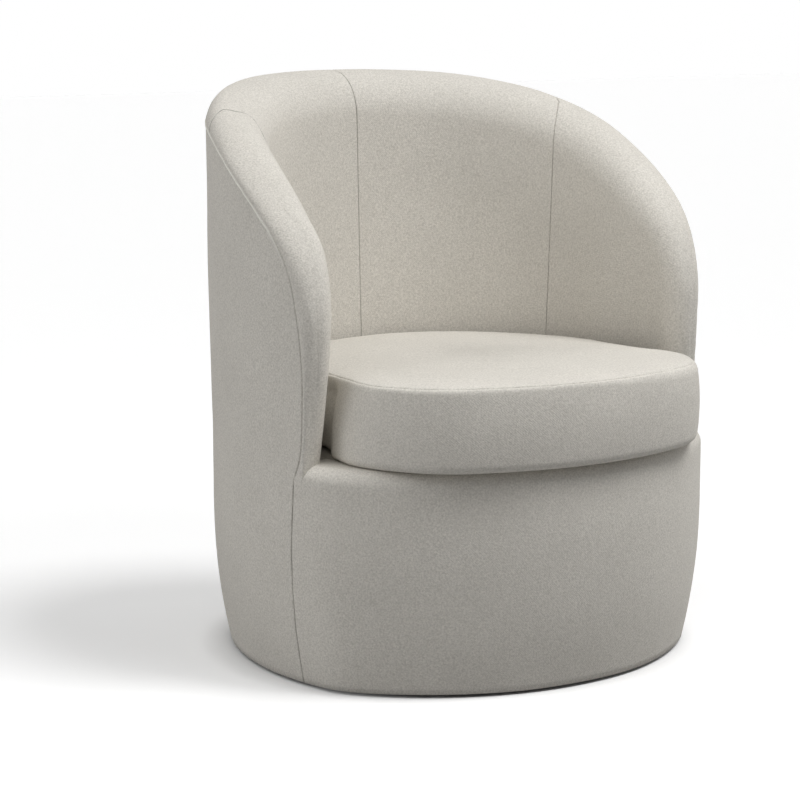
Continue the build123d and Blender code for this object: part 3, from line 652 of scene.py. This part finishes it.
# Stations along the rim of the right half, from the middle of the back to the arm's foot
back_angle = np.linspace(0, SIDE_SEAM_RIM, BACK_STATIONS)
out_turn = turn_about_well(back_angle)
rim_out = rim_turn_for(plan(out_turn, GUESS_INSET)[:, 1], GUESS_INSET)
in_len = WELL_R * back_angle
in_z, rim_in, round_in = inside_station(in_len)
for _ in range(BACK_ROUNDS):
    rim_z = rim(rim_out)[:, 1]
    reach, up = edge_axes(rim_z)
    reach = fit_reach(reach, out_turn, rim_z, in_len, in_z, round_in)
    rim_out = rim_turn_for(plan(out_turn, reach)[:, 1], up)
back_strip = wall_strip(rim_out, out_turn, reach, up, in_len, in_z, rim_in, round_in)

rim_table = np.linspace(RIM_SLOPE, ARM_END, RIM_SAMPLES)
rim_path = run_along(rim(rim_table))
arm_share = np.linspace(0, 1, ARM_STATIONS)[1:]


def along_rim(first):
    """Turns of the rim's normal at even lengths from the first to the arm's foot."""
    start = np.interp(first, rim_table, rim_path)
    return np.interp(start + (rim_path[-1] - start) * arm_share, rim_path, rim_table)


arm_out, arm_in = along_rim(rim_out[-1]), along_rim(rim_in[-1])
arm_rim_z = rim(arm_out)[:, 1]
arm_s, arm_z, arm_r = arm_station(arm_in)
arm_reach, arm_up = edge_axes(arm_rim_z)
for _ in range(ARM_ROUNDS):
    arm_turn = outer_turn(rim(arm_out, arm_up)[:, 0], arm_reach + taper(arm_rim_z))
    arm_reach = fit_reach(arm_reach, arm_turn, arm_rim_z, arm_s, arm_z, arm_r)
arm_strip = wall_strip(arm_out, arm_turn, arm_reach, arm_up, arm_s, arm_z, arm_in, arm_r)
strip = np.concatenate([back_strip, arm_strip])
edge_s, edge_z = np.concatenate([in_len, arm_s]), np.concatenate([in_z, arm_z])
land_row = len(SHARES_DROP) + len(SHARES_OUT) + len(SHARES_LAND) // 2 - 2
station = run_along(strip[:, land_row])
station_seam = station[BACK_STATIONS - 1]

# The side seam leaves its station by a bow: straight up the face on the right, arched over the rim on the left
across = run_along(strip[BACK_STATIONS - 1])
across = across / across[-1]
right_bow = SEAM_SLANT * np.minimum((1 - across) / SLANT_END, 1)
left_bow = SEAM_BOW * np.sin(math.pi / 2 * np.minimum(across / BOW_PEAK, 1)) ** BOW_POWER
left_bow *= 0.5 * (1 + np.cos(math.pi * np.clip((across - BOW_PEAK) / (BOW_END - BOW_PEAK), 0, 1)))
face_share = np.linspace(0, 1, FACE_ROWS)[1:]


def over_rim(place):
    """The strip read at other stations, one list of stations a row."""
    read = np.empty(place.shape + (3,))
    for i in range(place.shape[1]):
        for k in range(3):
            read[:, i, k] = np.interp(place[:, i], station, strip[:, i, k])
    return read


def down_face(place, end_s):
    """The inside face under the strip, from its edge to below the deck."""
    top_s, top_z = np.interp(place, station, edge_s), np.interp(place, station, edge_z)
    end_z = np.minimum(DECK - DECK_TUCK, top_z - MIN_FACE)
    z = top_z[:, None] + (end_z - top_z)[:, None] * face_share[None]
    s = top_s[:, None] + (end_s - top_s)[:, None] * face_share[None]
    return well_face(s, z)[0]


# Outside panel, one half: a lower band and the part under the rim
rim_seam = strip[:, 0]
split_z = float(rim_seam[-1, 2])
seam_turn = outer_turn(rim_seam[:, 1], taper(rim_seam[:, 2]))
seam_turn[0] = 0.0
foot_turn = float(seam_turn[-1])
around = graded(OUTSIDE_LENGTH, OUTSIDE_STEP)
low_z = FOOT + (split_z - FOOT) * np.linspace(0, 1, LOW_ROWS)
base_y = np.interp(low_z, BASE_SEAM_Z, BASE_SEAM_Y)
curl = np.clip((low_z - BASE_CURL_Z) / (split_z - BASE_CURL_Z), 0, 1) ** 2
base_y = base_y + (rim_seam[-1, 1] - base_y[-1]) * curl
edge_turn = outer_turn(base_y, bulge_inset(low_z) + taper(low_z))
low_grid = body_point(around[:, None] * edge_turn[None], low_z[None])
foot_inset = float(bulge_inset(FOOT) + taper(FOOT))
under = [at_height(plan(around * edge_turn[0], foot_inset + draw), level) for draw, level in HEM_FOLD]
low_grid = np.concatenate([np.stack(under, 1), low_grid], 1)
seam_path = run_along(rim_seam)
knee = float(np.interp(-KNEE_Z, -rim_seam[:, 2], seam_path))
upright = graded(OUTSIDE_HEIGHT, OUTSIDE_STEP, False, True)


def seam_at(length):
    """Turn and height of the rim seam, by length along it."""
    turn = np.interp(length, seam_path, seam_turn)
    return np.stack([turn, np.interp(length, seam_path, rim_seam[:, 2])], -1)


top_edge = seam_at(around * knee)
right_edge = seam_at(seam_path[-1] + (knee - seam_path[-1]) * upright)
bottom_edge = np.stack([around * foot_turn, np.full(around.shape, split_z)], -1)
left_edge = np.stack([np.zeros(upright.shape), split_z + (rim_seam[0, 2] - split_z) * upright], -1)
A, B = around[:, None, None], upright[None, :, None]
coons = (
    (1 - B) * bottom_edge[:, None] + B * top_edge[:, None] + (1 - A) * left_edge[None] + A * right_edge[None]
    - (1 - A) * (1 - B) * bottom_edge[0] - A * (1 - B) * bottom_edge[-1]
    - (1 - A) * B * top_edge[0] - A * B * top_edge[-1]
)
high_grid = body_point(coons[..., 0], coons[..., 1])
base_seam = body_point(edge_turn, low_z)
outside_mid = np.concatenate([low_grid[0], high_grid[0]])

# Lower front, from seam to seam
front_rise = np.linspace(FOOT, DECK - FRONT_ROUND, FRONT_ROWS)
bend = np.linspace(0, math.pi / 2, BEND_ROWS)[1:]
shelf = np.linspace(FRONT_ROUND, FRONT_RETURN, SHELF_ROWS)[1:]
front_inset = np.concatenate([bulge_inset(front_rise), FRONT_ROUND * (1 - np.cos(bend)), shelf])
bend_z = DECK - FRONT_ROUND + FRONT_ROUND * np.sin(bend)
front_z = np.concatenate([front_rise, bend_z, np.full(shelf.shape, DECK)])
front_inset += taper(front_z)
front_inset = np.concatenate([[foot_inset + draw for draw, level in HEM_FOLD], front_inset])
front_z = np.concatenate([[level for draw, level in HEM_FOLD], front_z])
start_turn = np.interp(front_z, low_z, edge_turn)
front_share = graded(FRONT_LENGTH, OUTSIDE_STEP)
front_turn = start_turn[None] + (2 * math.pi - 2 * start_turn[None]) * front_share[:, None]
fold = np.where(front_turn > math.pi, 2 * math.pi - front_turn, front_turn)
front_xy = plan(fold, np.broadcast_to(front_inset[None], fold.shape))
front_xy[..., 0] *= np.where(front_turn > math.pi, -1, 1)
front_grid = at_height(front_xy, front_z)


def away(g):
    """Level directions away from the chair's axis."""
    return at_height(g[..., :2], 0.0)


def into_well(g):
    """Directions towards the middle of the well and slightly up."""
    return at_height(WELL_AIM - g[..., :2], AIM_RISE)


def upper_edge(g):
    """1 along the high part of the rim seam, where the outside panel's edge catches the light."""
    return np.clip((g[..., 2] - UPPER_Z) / UPPER_RUN, 0, 1) * (near(g, rim_seam) < UPPER_NEAR)


def seam_lip(g):
    """Low ridge on the outside panel beside the rim seam, over its turned-in edge, high on the arm and back.
    Its height also sets the painted highlight drawn along it.
    """
    return SEAM_LIP * upper_edge(g) * np.exp(-(((near(g, rim_seam) - LIP_PLACE) / LIP_WIDTH) ** 2))


back_share = graded(BACK_LENGTH, INSIDE_STEP)
arm_panel_share = graded(ARM_LENGTH, INSIDE_STEP, True, False)


def inside_panels(bow, rim_seam_shade):
    """Inside back and arm of one half, with the side seam between them bowed over the rim."""
    place = back_share[:, None] * (station_seam - bow)[None]
    face = down_face(place[:, -1], WELL_R * back_share * SIDE_SEAM_DECK)
    back = np.concatenate([over_rim(place), face], 1)
    place = (station_seam - bow)[None] + arm_panel_share[:, None] * (station[-1] - station_seam + bow)[None]
    seam_s = WELL_R * SIDE_SEAM_DECK
    face = down_face(place[:, -1], seam_s + (edge_s[-1] - seam_s) * arm_panel_share)
    arm = np.concatenate([over_rim(place), face], 1)
    seams = [rim_seam, back[-1], back[0]]
    looks = {
        "radius": INSIDE_ROLL,
        "puff": PUFF,
        # How much painted shade is drawn along the seams, over the rim and down the face
        "seam_shade": np.append(np.full(strip.shape[1], rim_seam_shade), np.full(len(face_share), FACE_SEAM_SHADE)),
    }
    back_sewn = sew(back, into_well, seams, seed=5, upper=upper_edge(back), **looks)
    arm_sewn = sew(arm, into_well, seams[:2], seed=9, upper=upper_edge(arm), **looks)
    return back_sewn, arm_sewn


# The lip also paints a highlight into the colour beside the rim seam
outside_seams = [rim_seam, base_seam, outside_mid]
outside_grids = [
    sew(g, away, outside_seams, seed=3, radius=OUTSIDE_ROLL, lip=seam_lip(g), upper=upper_edge(g))
    for g in (low_grid, high_grid)
]
front_seams = [base_seam, base_seam * MIRROR]
front_sewn = sew(front_grid, away, front_seams, seed=11, radius=FRONT_ROLL, first_seam_shade=FRONT_SEAM_SHADE)

pieces = []
halves = (("right", False, right_bow, RIGHT_RIM_SHADE), ("left", True, left_bow, LEFT_RIM_SHADE))
for side, mirrored, bow, rim_seam_shade in halves:
    back_sewn, arm_sewn = inside_panels(bow, rim_seam_shade)
    outer = mesh_of(f"outside_panel_{side}", outside_grids, fabric, mirrored, away)
    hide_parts(f"outside_cover_{side}", f"outside_padding_{side}")
    back = mesh_of(f"inside_back_{side}", [back_sewn], fabric, mirrored, into_well)
    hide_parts(f"back_cover_{side}", f"back_foam_{side}")
    arm = mesh_of(f"arm_{side}", [arm_sewn], fabric, mirrored, into_well)
    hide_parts(f"arm_cover_{side}", f"arm_foam_{side}")
    pieces += [outer, back, arm]
front = mesh_of("lower_front", [front_sewn], fabric, False, away)
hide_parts("front_cover", "front_foam")
pieces.append(front)
for piece in pieces:
    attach(piece, "chair")

# Loose seat cushion: top and bottom panels sewn to a boxing band, swelled by simulation
CUSHION_GAP, CUSHION_CORNER, CUSHION_FRONT_R = 0.010, 0.155, 0.470
CUSHION_MID, CUSHION_HALF_DEPTH = np.array([0.0, -0.065]), 0.295
CUSHION_CORE = np.array([0.0, -0.065, 0.375])
CUSHION_FLOOR = DECK + 0.0006
CUSHION_TOP, CUSHION_FALL, CUSHION_CROWN = 0.4285, 0.0055, 0.0035
EDGE_ROUND, EDGE_SOFT, EDGE_INSET = 0.0105, 0.0095, 0.0030
FOOT_ROUND, FOOT_INSET, FOOT_SPREAD = 0.013, 0.0025, 0.013
BOXING_BULGE, ARM_LEAN, ARM_NOTCH = 0.0025, 0.004, 0.018
ARC_SAMPLES, RING_POINTS, FOOT_ROWS, BOXING_ROWS, TOP_ROWS = 200, 301, 8, 18, 25
FLOOR_SCALES, TOP_SCALE = (0.0, 0.16, 0.32, 0.48, 0.64, 0.78, 0.88, 0.95), 0.97
EDGE_TURNS = (0, 12, 24, 33, 39, 43, 46, 48, 50, 52, 54, 57, 61, 68, 78, 90)
SEAM_TURN, SEAM_NEAR = 50, 5
PIN_FLOOR, PIN_FOOT, PIN_SEAM, PIN_EDGE = 1.0, 0.6, 0.8, 0.3
PRESSURE, SWELL_CAP, FRAMES = 4.0, 0.005, 20
# Ramps over the cushion's plan and height, each as its start and its signed run
SPREAD_BACK, SPREAD_FRONT = (0.02, -0.13), (-0.27, 0.10)
SOFT_RIGHT, SOFT_BACK = (-0.04, 0.24), (0.02, -0.15)
LEAN_BACK, LEAN_FRONT = (0.02, -0.10), (-0.25, 0.10)
NOTCH_FRONT, NOTCH_BACK, NOTCH_TOP = (-0.132, 0.032), (0.04, -0.10), (0.72, 0.24)
DENT_RISE = (0.36, 0.06)
# Unevenness and the groove of the sewn edge: depth and pitch or width
DENT, DENT_PITCH = 0.0009, 0.19
GATHER, GATHER_PITCH, GATHER_RUN = 0.0004, 0.03, 0.014
GROOVE, GROOVE_WIDTH = 0.0011, 0.0013
ZIP_TURN, ZIP_LEVEL, ZIP_HEIGHT = math.radians(53), DECK + 0.053, 0.016
ZIP_MARGIN, ZIP_CLEAR, ZIP_FREE = 0.02, 0.0003, 0.008


def cushion_outline(count):
    """Plan of the cushion and its outward normals, evenly spaced from the middle of the back."""
    heading = np.array([math.sin(FLARE), -math.cos(FLARE)])
    inward = np.array([-math.cos(FLARE), -math.sin(FLARE)])
    r = WELL_R - CUSHION_GAP
    front_mid = np.array([0.0, FRONT_Y - OVERHANG + CUSHION_FRONT_R])
    turn = math.pi / 2 - FLARE
    side = np.array([r * math.sin(turn), well_mid(DECK) + r * math.cos(turn)])
    base = side + inward * CUSHION_CORNER - front_mid
    along = base @ heading
    run = -along + math.sqrt(along**2 - base @ base + (CUSHION_FRONT_R - CUSHION_CORNER) ** 2)
    corner = base + heading * run + front_mid
    end = math.atan2(corner[0] - front_mid[0], corner[1] - front_mid[1])
    arcs = [
        (np.array([0.0, well_mid(DECK)]), r, 0.0, turn),
        (corner, CUSHION_CORNER, turn, end),
        (front_mid, CUSHION_FRONT_R, end, math.pi),
    ]
    points = []
    for centre, radius, first, last in arcs:
        t = np.linspace(first, last, ARC_SAMPLES)
        points.append(centre + radius * np.stack([np.sin(t), np.cos(t)], -1))
    ring = both_halves(np.concatenate(points))
    path = run_along(ring)
    even = np.linspace(0, path[-1], count)
    ring = np.stack([np.interp(even, path, ring[:, k]) for k in range(2)], -1)
    step = np.roll(ring[:-1], -1, 0) - np.roll(ring[:-1], 1, 0)
    step = np.concatenate([step, step[:1]])
    n = np.stack([-step[:, 1], step[:, 0]], -1)
    return ring, n / np.linalg.norm(n, axis=1, keepdims=True)


ring, ring_normal = cushion_outline(RING_POINTS)
ring_x, ring_y = ring[:, 0], ring[:, 1]
edge_level = CUSHION_TOP - CUSHION_FALL * (ring_y - CUSHION_MID[1]) / CUSHION_HALF_DEPTH
arm_hollow = FOOT_SPREAD * ramp(ring_y, *SPREAD_BACK) * ramp(ring_y, *SPREAD_FRONT)
edge_round = EDGE_ROUND + EDGE_SOFT * ramp(ring_x, *SOFT_RIGHT) * ramp(ring_y, *SOFT_BACK)
arm_lean = ARM_LEAN * ramp(ring_y, *LEAN_BACK) * ramp(ring_y, *LEAN_FRONT)
arm_notch = ARM_NOTCH * ramp(ring_y, *NOTCH_FRONT) * ramp(ring_y, *NOTCH_BACK)
rows, pinned = [], []


def cushion_row(inset, level, scale=1.0, pin=0.0):
    """One closed row of the cover: spread at its foot into the arms' hollows, notched behind them."""
    level = np.broadcast_to(level, edge_level.shape)
    rise = np.clip((level - CUSHION_FLOOR) / (edge_level - CUSHION_FLOOR), 0, 1)
    xy = ring - ring_normal * np.broadcast_to(inset, edge_level.shape)[:, None]
    outward = arm_hollow * (1 - rise) - arm_lean * rise - arm_notch * (1 - ramp(rise, *NOTCH_TOP))
    xy[:, 0] += np.sign(ring_x) * outward
    xy = CUSHION_MID + (xy - CUSHION_MID) * scale
    rows.append(at_height(xy, level))
    pinned.append(pin)


for scale in FLOOR_SCALES:
    cushion_row(FOOT_INSET + FOOT_ROUND, CUSHION_FLOOR, scale, PIN_FLOOR)
for t in np.linspace(0, math.pi / 2, FOOT_ROWS):
    inset, level = FOOT_INSET + FOOT_ROUND * (1 - math.sin(t)), CUSHION_FLOOR + FOOT_ROUND * (1 - math.cos(t))
    cushion_row(inset, level, 1.0, PIN_FOOT)
boxing_low, boxing_high = CUSHION_FLOOR + FOOT_ROUND, edge_level - edge_round
for h in np.linspace(0, 1, BOXING_ROWS)[1:-1]:
    inset = FOOT_INSET * (1 - h) + EDGE_INSET * h - 4 * BOXING_BULGE * h * (1 - h)
    cushion_row(inset, boxing_low + (boxing_high - boxing_low) * h)
seam_row = len(rows) + EDGE_TURNS.index(SEAM_TURN)
for turn in EDGE_TURNS:
    t = math.radians(turn)
    inset, drop = EDGE_INSET + edge_round * (1 - math.cos(t)), edge_round * (1 - math.sin(t))
    cushion_row(inset, edge_level - drop, 1.0, PIN_SEAM if abs(turn - SEAM_TURN) < SEAM_NEAR else PIN_EDGE)
for scale in np.linspace(TOP_SCALE, 0.0, TOP_ROWS):
    level = CUSHION_TOP + (edge_level - CUSHION_TOP) * scale + CUSHION_CROWN * (1 - scale**2)
    cushion_row(EDGE_INSET + edge_round, level, scale)
shape = np.stack(rows, 1)


def from_core(g):
    """Directions away from the middle of the cushion."""
    return g - CUSHION_CORE


def swell(obj, hold, pressure, cap):
    """Blow the closed cover up by cloth simulation and keep each point within cap of where it began."""
    start = np.array([v.co for v in obj.data.vertices])
    group = obj.vertex_groups.new(name="held")
    for i, weight in enumerate(hold):
        if weight > 0:
            group.add([i], float(weight), "REPLACE")
    cloth = obj.modifiers.new("swell", "CLOTH")
    settings = cloth.settings
    settings.quality, settings.mass = 6, 0.25
    settings.tension_stiffness, settings.compression_stiffness, settings.bending_stiffness = 25, 25, 0.6
    settings.use_pressure, settings.uniform_pressure_force = True, pressure
    settings.vertex_group_mass = "held"
    settings.effector_weights.gravity = 0.0
    cloth.collision_settings.use_collision = False
    cloth.point_cache.frame_start, cloth.point_cache.frame_end = 1, FRAMES
    scene = bpy.context.scene
    for step in range(1, FRAMES + 1):
        scene.frame_set(step)
    graph = bpy.context.evaluated_depsgraph_get()
    puffed = obj.evaluated_get(graph).to_mesh()
    end = np.array([v.co for v in puffed.vertices])
    obj.evaluated_get(graph).to_mesh_clear()
    obj.modifiers.remove(cloth)
    obj.vertex_groups.remove(group)
    scene.frame_set(1)
    move = end - start
    far = np.linalg.norm(move, axis=1, keepdims=True)
    return start + move * np.minimum(1.0, cap * np.tanh(far / cap) / np.maximum(far, SMALL))


def move_points(obj, points):
    obj.data.vertices.foreach_set("co", points.astype(np.float32).ravel())
    obj.data.update()


cushion = mesh_of("seat_cushion_cover", [(shape, 0.0)], fabric, False, from_core)
coords = np.array([v.co for v in cushion.data.vertices])
finder = KDTree(shape.shape[0] * shape.shape[1])
for i, point in enumerate(shape.reshape(-1, 3)):
    finder.insert(point, i)
finder.balance()
row_of = np.array([finder.find(c)[1] for c in coords]) % shape.shape[1]
hold = np.array(pinned)[row_of]
coords = swell(cushion, hold, PRESSURE, SWELL_CAP)

# The sewn edge is drawn in, the top lies unevenly, and the back stays flat under the zip
move_points(cushion, coords)
normals = np.zeros(coords.size, np.float32)
cushion.data.vertex_normals.foreach_get("vector", normals)
seam_line = coords[row_of == seam_row]
order = np.argsort(np.arctan2(seam_line[:, 0], seam_line[:, 1] - CUSHION_MID[1]))
seam_line = seam_line[np.append(order, order[0])]
from_seam = near(coords, seam_line)
dents = DENT * ripple(coords, DENT_PITCH, 21) * ramp(coords[:, 2], *DENT_RISE)
dents = dents + GATHER * ripple(coords, GATHER_PITCH, 22) * np.exp(-from_seam / GATHER_RUN)
groove = GROOVE * np.exp(-((from_seam / GROOVE_WIDTH) ** 2))
coords = coords + normals.reshape(-1, 3) * np.where(hold < 1, dents - groove, 0)[:, None]
coords[:, 2] = np.maximum(coords[:, 2], CUSHION_FLOOR)
zip_mid = np.array([0.0, well_mid(DECK)])
rel = coords[:, :2] - zip_mid
reach_out, bearing = np.linalg.norm(rel, axis=1), np.abs(np.arctan2(rel[:, 0], rel[:, 1]))
beyond = np.maximum(np.abs(coords[:, 2] - ZIP_LEVEL) - ZIP_HEIGHT / 2, (bearing - ZIP_TURN) * WELL_R)
flat = WELL_R - CUSHION_GAP - ZIP_CLEAR + ZIP_FREE * ease(beyond / ZIP_MARGIN)
limit = np.where(beyond < ZIP_MARGIN, flat, FAR)
coords[:, :2] = rel * np.minimum(1, limit / np.maximum(reach_out, SMALL))[:, None] + zip_mid
move_points(cushion, coords)
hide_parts("cushion_cover", "cushion_foam")
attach(cushion, "seat_cushion")

# Deck under the cushion, held along the walls and the front shelf
DECK_POINTS, DECK_ROWS, LIMIT_POINTS = 241, 30, 900
DECK_FRONT_INSET, DECK_OVERLAP, DECK_END = 0.056, 0.002, 0.62
DECK_START, DECK_LOW, DECK_DISH, DECK_DIP, DIP_START = 0.01, 0.0012, 0.004, 0.006, 0.97
DECK_WAVE, DECK_PITCH = 0.0008, 0.09
deck_angle = np.linspace(0, 2 * math.pi, DECK_POINTS)
way = np.stack([np.sin(deck_angle), np.cos(deck_angle)], -1)
front_limit = both_halves(plan(np.linspace(0, math.pi, LIMIT_POINTS), DECK_FRONT_INSET))
well_line = well_face(np.linspace(0, DECK_END, LIMIT_POINTS), np.full(LIMIT_POINTS, DECK))[0]
well_limit = both_halves(well_line[:, :2])


def reach_to(limit):
    """Distances from the middle of the cushion to a closed line, at the deck's bearings."""
    rel = limit - CUSHION_MID
    bearing = np.mod(np.arctan2(rel[:, 0], rel[:, 1]), 2 * math.pi)
    order = np.argsort(bearing)
    return np.interp(deck_angle, bearing[order], np.linalg.norm(rel, axis=1)[order], period=2 * math.pi)


def upward(g):
    return np.broadcast_to(np.array([0.0, 0.0, 1.0]), g.shape)


def downward(g):
    return -upward(g)


deck_reach = np.minimum(reach_to(front_limit), reach_to(well_limit) + DECK_OVERLAP)
deck_rows = []
for share in np.linspace(DECK_START, 1, DECK_ROWS):
    dip = DECK_DIP * max(0.0, share - DIP_START) / (1 - DIP_START)
    level = DECK - DECK_LOW - DECK_DISH * (1 - share**2) - dip
    deck_rows.append(at_height(CUSHION_MID + way * (deck_reach * share)[:, None], level))
deck_shape = np.stack(deck_rows, 1)
deck_shape[..., 2] += DECK_WAVE * ripple(deck_shape, DECK_PITCH, 31)
deck = mesh_of("seat_deck", [(deck_shape, 0.0)], deck_weave, False, upward)
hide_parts("deck_cloth", "deck_pad")
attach(deck, "chair")

# Dust cover: black felt stretched under the skirt, round the plinth
FELT_BORE, FELT_INSET, FELT_POINTS = 0.234, 0.0008, 181
FELT_SHARES = np.concatenate([[0, 0.004], np.linspace(0.02, 1, 14)])
FELT_WAVE, FELT_PITCH = 0.0003, 0.07
felt_low, felt_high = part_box("dust_cover")
rim_half = plan(np.linspace(0, math.pi, FELT_POINTS), HALF_WIDTH - felt_high.x + FELT_INSET)
felt_edge = np.concatenate([rim_half, rim_half[-2::-1] * MIRROR[:2]])
felt_way = felt_edge / np.linalg.norm(felt_edge, axis=1, keepdims=True)
felt_rows = []
for share in FELT_SHARES:
    xy = felt_way * FELT_BORE * (1 - share) + felt_edge * share
    felt_rows.append(at_height(xy, (felt_low.z + felt_high.z) / 2))
felt_shape = np.stack(felt_rows, 1)
felt_shape[..., 2] += FELT_WAVE * ripple(felt_shape, FELT_PITCH, 41)
felt = mesh_of("dust_sheet", [(felt_shape, 0.0)], black_felt, False, downward)
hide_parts("dust_cover")
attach(felt, "chair")

# Camera at the photograph's angle
PHOTO_PX, FOCAL_PX, SENSOR = 800.0, 2601.35, 36.0
CAMERA_TURN, CAMERA_RISE = math.radians(32.3751), math.radians(9.7042)
CAMERA_PLACE = Vector((-2.05862, -3.13838 + BACK_C, 0.99245))
camera = bpy.data.cameras.new("camera")
camera.sensor_width = SENSOR
camera.lens = SENSOR * FOCAL_PX / PHOTO_PX
camera.clip_start, camera.clip_end = 0.1, 60.0
view = link(bpy.data.objects.new("camera", camera))
aim = Matrix.Rotation(-CAMERA_TURN, 4, "Z") @ Matrix.Rotation(math.pi / 2 - CAMERA_RISE, 4, "X")
view.matrix_world = Matrix.Translation(CAMERA_PLACE) @ aim
bpy.context.scene.camera = view

# Floor: glows white where it is seen and throws little light back; the glow fades out close under the chair, a
# painted contact shadow
FLOOR_HALF = 14
PAINTED_SHADOW_CORE, PAINTED_SHADOW_EDGE, GLOW = 0.32, 0.37, 0.225
floor_mesh = bpy.data.meshes.new("floor")
floor_corners = [(x * FLOOR_HALF, y * FLOOR_HALF, 0) for x, y in ((-1, -1), (1, -1), (1, 1), (-1, 1))]
floor_mesh.from_pydata(floor_corners, [], [(0, 1, 2, 3)])
floor = link(bpy.data.objects.new("floor", floor_mesh))
floor_mat, floor_tree, floor_shader = nodes_of("floor_paint")
floor_shader.inputs["Base Color"].default_value = (0.93, 0.93, 0.93, 1)
floor_shader.inputs["Roughness"].default_value = 0.95
floor_shader.inputs["Specular IOR Level"].default_value = 0.05
glow = node(floor_tree, "ShaderNodeEmission")
floor_place = node(floor_tree, "ShaderNodeTexCoord").outputs["Object"]
from_chair = node(floor_tree, "ShaderNodeVectorMath", operation="LENGTH")
floor_tree.links.new(floor_place, from_chair.inputs[0])
# Painted contact shadow: no glow near the chair's middle, rising to full glow over these distances
strength = span(floor_tree, from_chair.outputs["Value"], PAINTED_SHADOW_CORE, PAINTED_SHADOW_EDGE, to_high=GLOW)
floor_tree.links.new(strength, glow.inputs["Strength"])
unseen = node(floor_tree, "ShaderNodeBsdfDiffuse")
unseen.inputs["Color"].default_value = (0.36, 0.36, 0.36, 1)
choose = node(floor_tree, "ShaderNodeMixShader")
add = node(floor_tree, "ShaderNodeAddShader")
floor_tree.links.new(floor_shader.outputs[0], add.inputs[0])
floor_tree.links.new(glow.outputs[0], add.inputs[1])
floor_tree.links.new(seen_rays(floor_tree), choose.inputs[0])
floor_tree.links.new(unseen.outputs[0], choose.inputs[1])
floor_tree.links.new(add.outputs[0], choose.inputs[2])
floor_tree.links.new(choose.outputs[0], floor_tree.nodes["Material Output"].inputs["Surface"])
floor.data.materials.append(floor_mat)


def lamp_towards(name, data, direction):
    lamp = link(bpy.data.objects.new(name, data))
    lamp.rotation_euler = direction.to_track_quat("-Z", "Y").to_euler()
    return lamp


def soft_light(name, place, aim, size, energy):
    data = bpy.data.lights.new(name, "AREA")
    data.shape = "RECTANGLE"
    data.size, data.size_y = size
    data.energy = energy
    lamp_towards(name, data, Vector(aim) - Vector(place)).location = place


def far_light(name, place, angle, energy):
    data = bpy.data.lights.new(name, "SUN")
    data.angle = math.radians(angle)
    data.energy = energy
    lamp_towards(name, data, -Vector(place))


far_light("key", (0.34, -0.31, 0.88), angle=20.0, energy=1.26)
far_light("top_left", (-0.45, -0.20, 0.86), angle=40.0, energy=0.57)
far_light("left_fill", (-0.85, 0.36, 0.14), angle=55.0, energy=1.14)
far_light("right_fill", (0.95, 0.05, 0.20), angle=40.0, energy=0.58)
soft_light("front_box", (0.25, -0.95, 1.75), aim=(0.0, 0.15, 0.5), size=(0.8, 0.8), energy=8.8)

# World: white paper behind the chair, a low even light for everything else
world = bpy.data.worlds.new("studio")
world.use_nodes = True
bpy.context.scene.world = world
world_tree = world.node_tree
soft = world_tree.nodes["Background"]
soft.inputs["Color"].default_value = (1, 1, 1, 1)
soft.inputs["Strength"].default_value = 0.19
paper = node(world_tree, "ShaderNodeBackground", Strength=1.0)
paper.inputs["Color"].default_value = (1, 1, 1, 1)
pick = node(world_tree, "ShaderNodeMixShader")
world_tree.links.new(seen_rays(world_tree), pick.inputs[0])
world_tree.links.new(soft.outputs[0], pick.inputs[1])
world_tree.links.new(paper.outputs[0], pick.inputs[2])
world_tree.links.new(pick.outputs[0], world_tree.nodes["World Output"].inputs[0])
bpy.context.scene.view_settings.view_transform = "Standard"
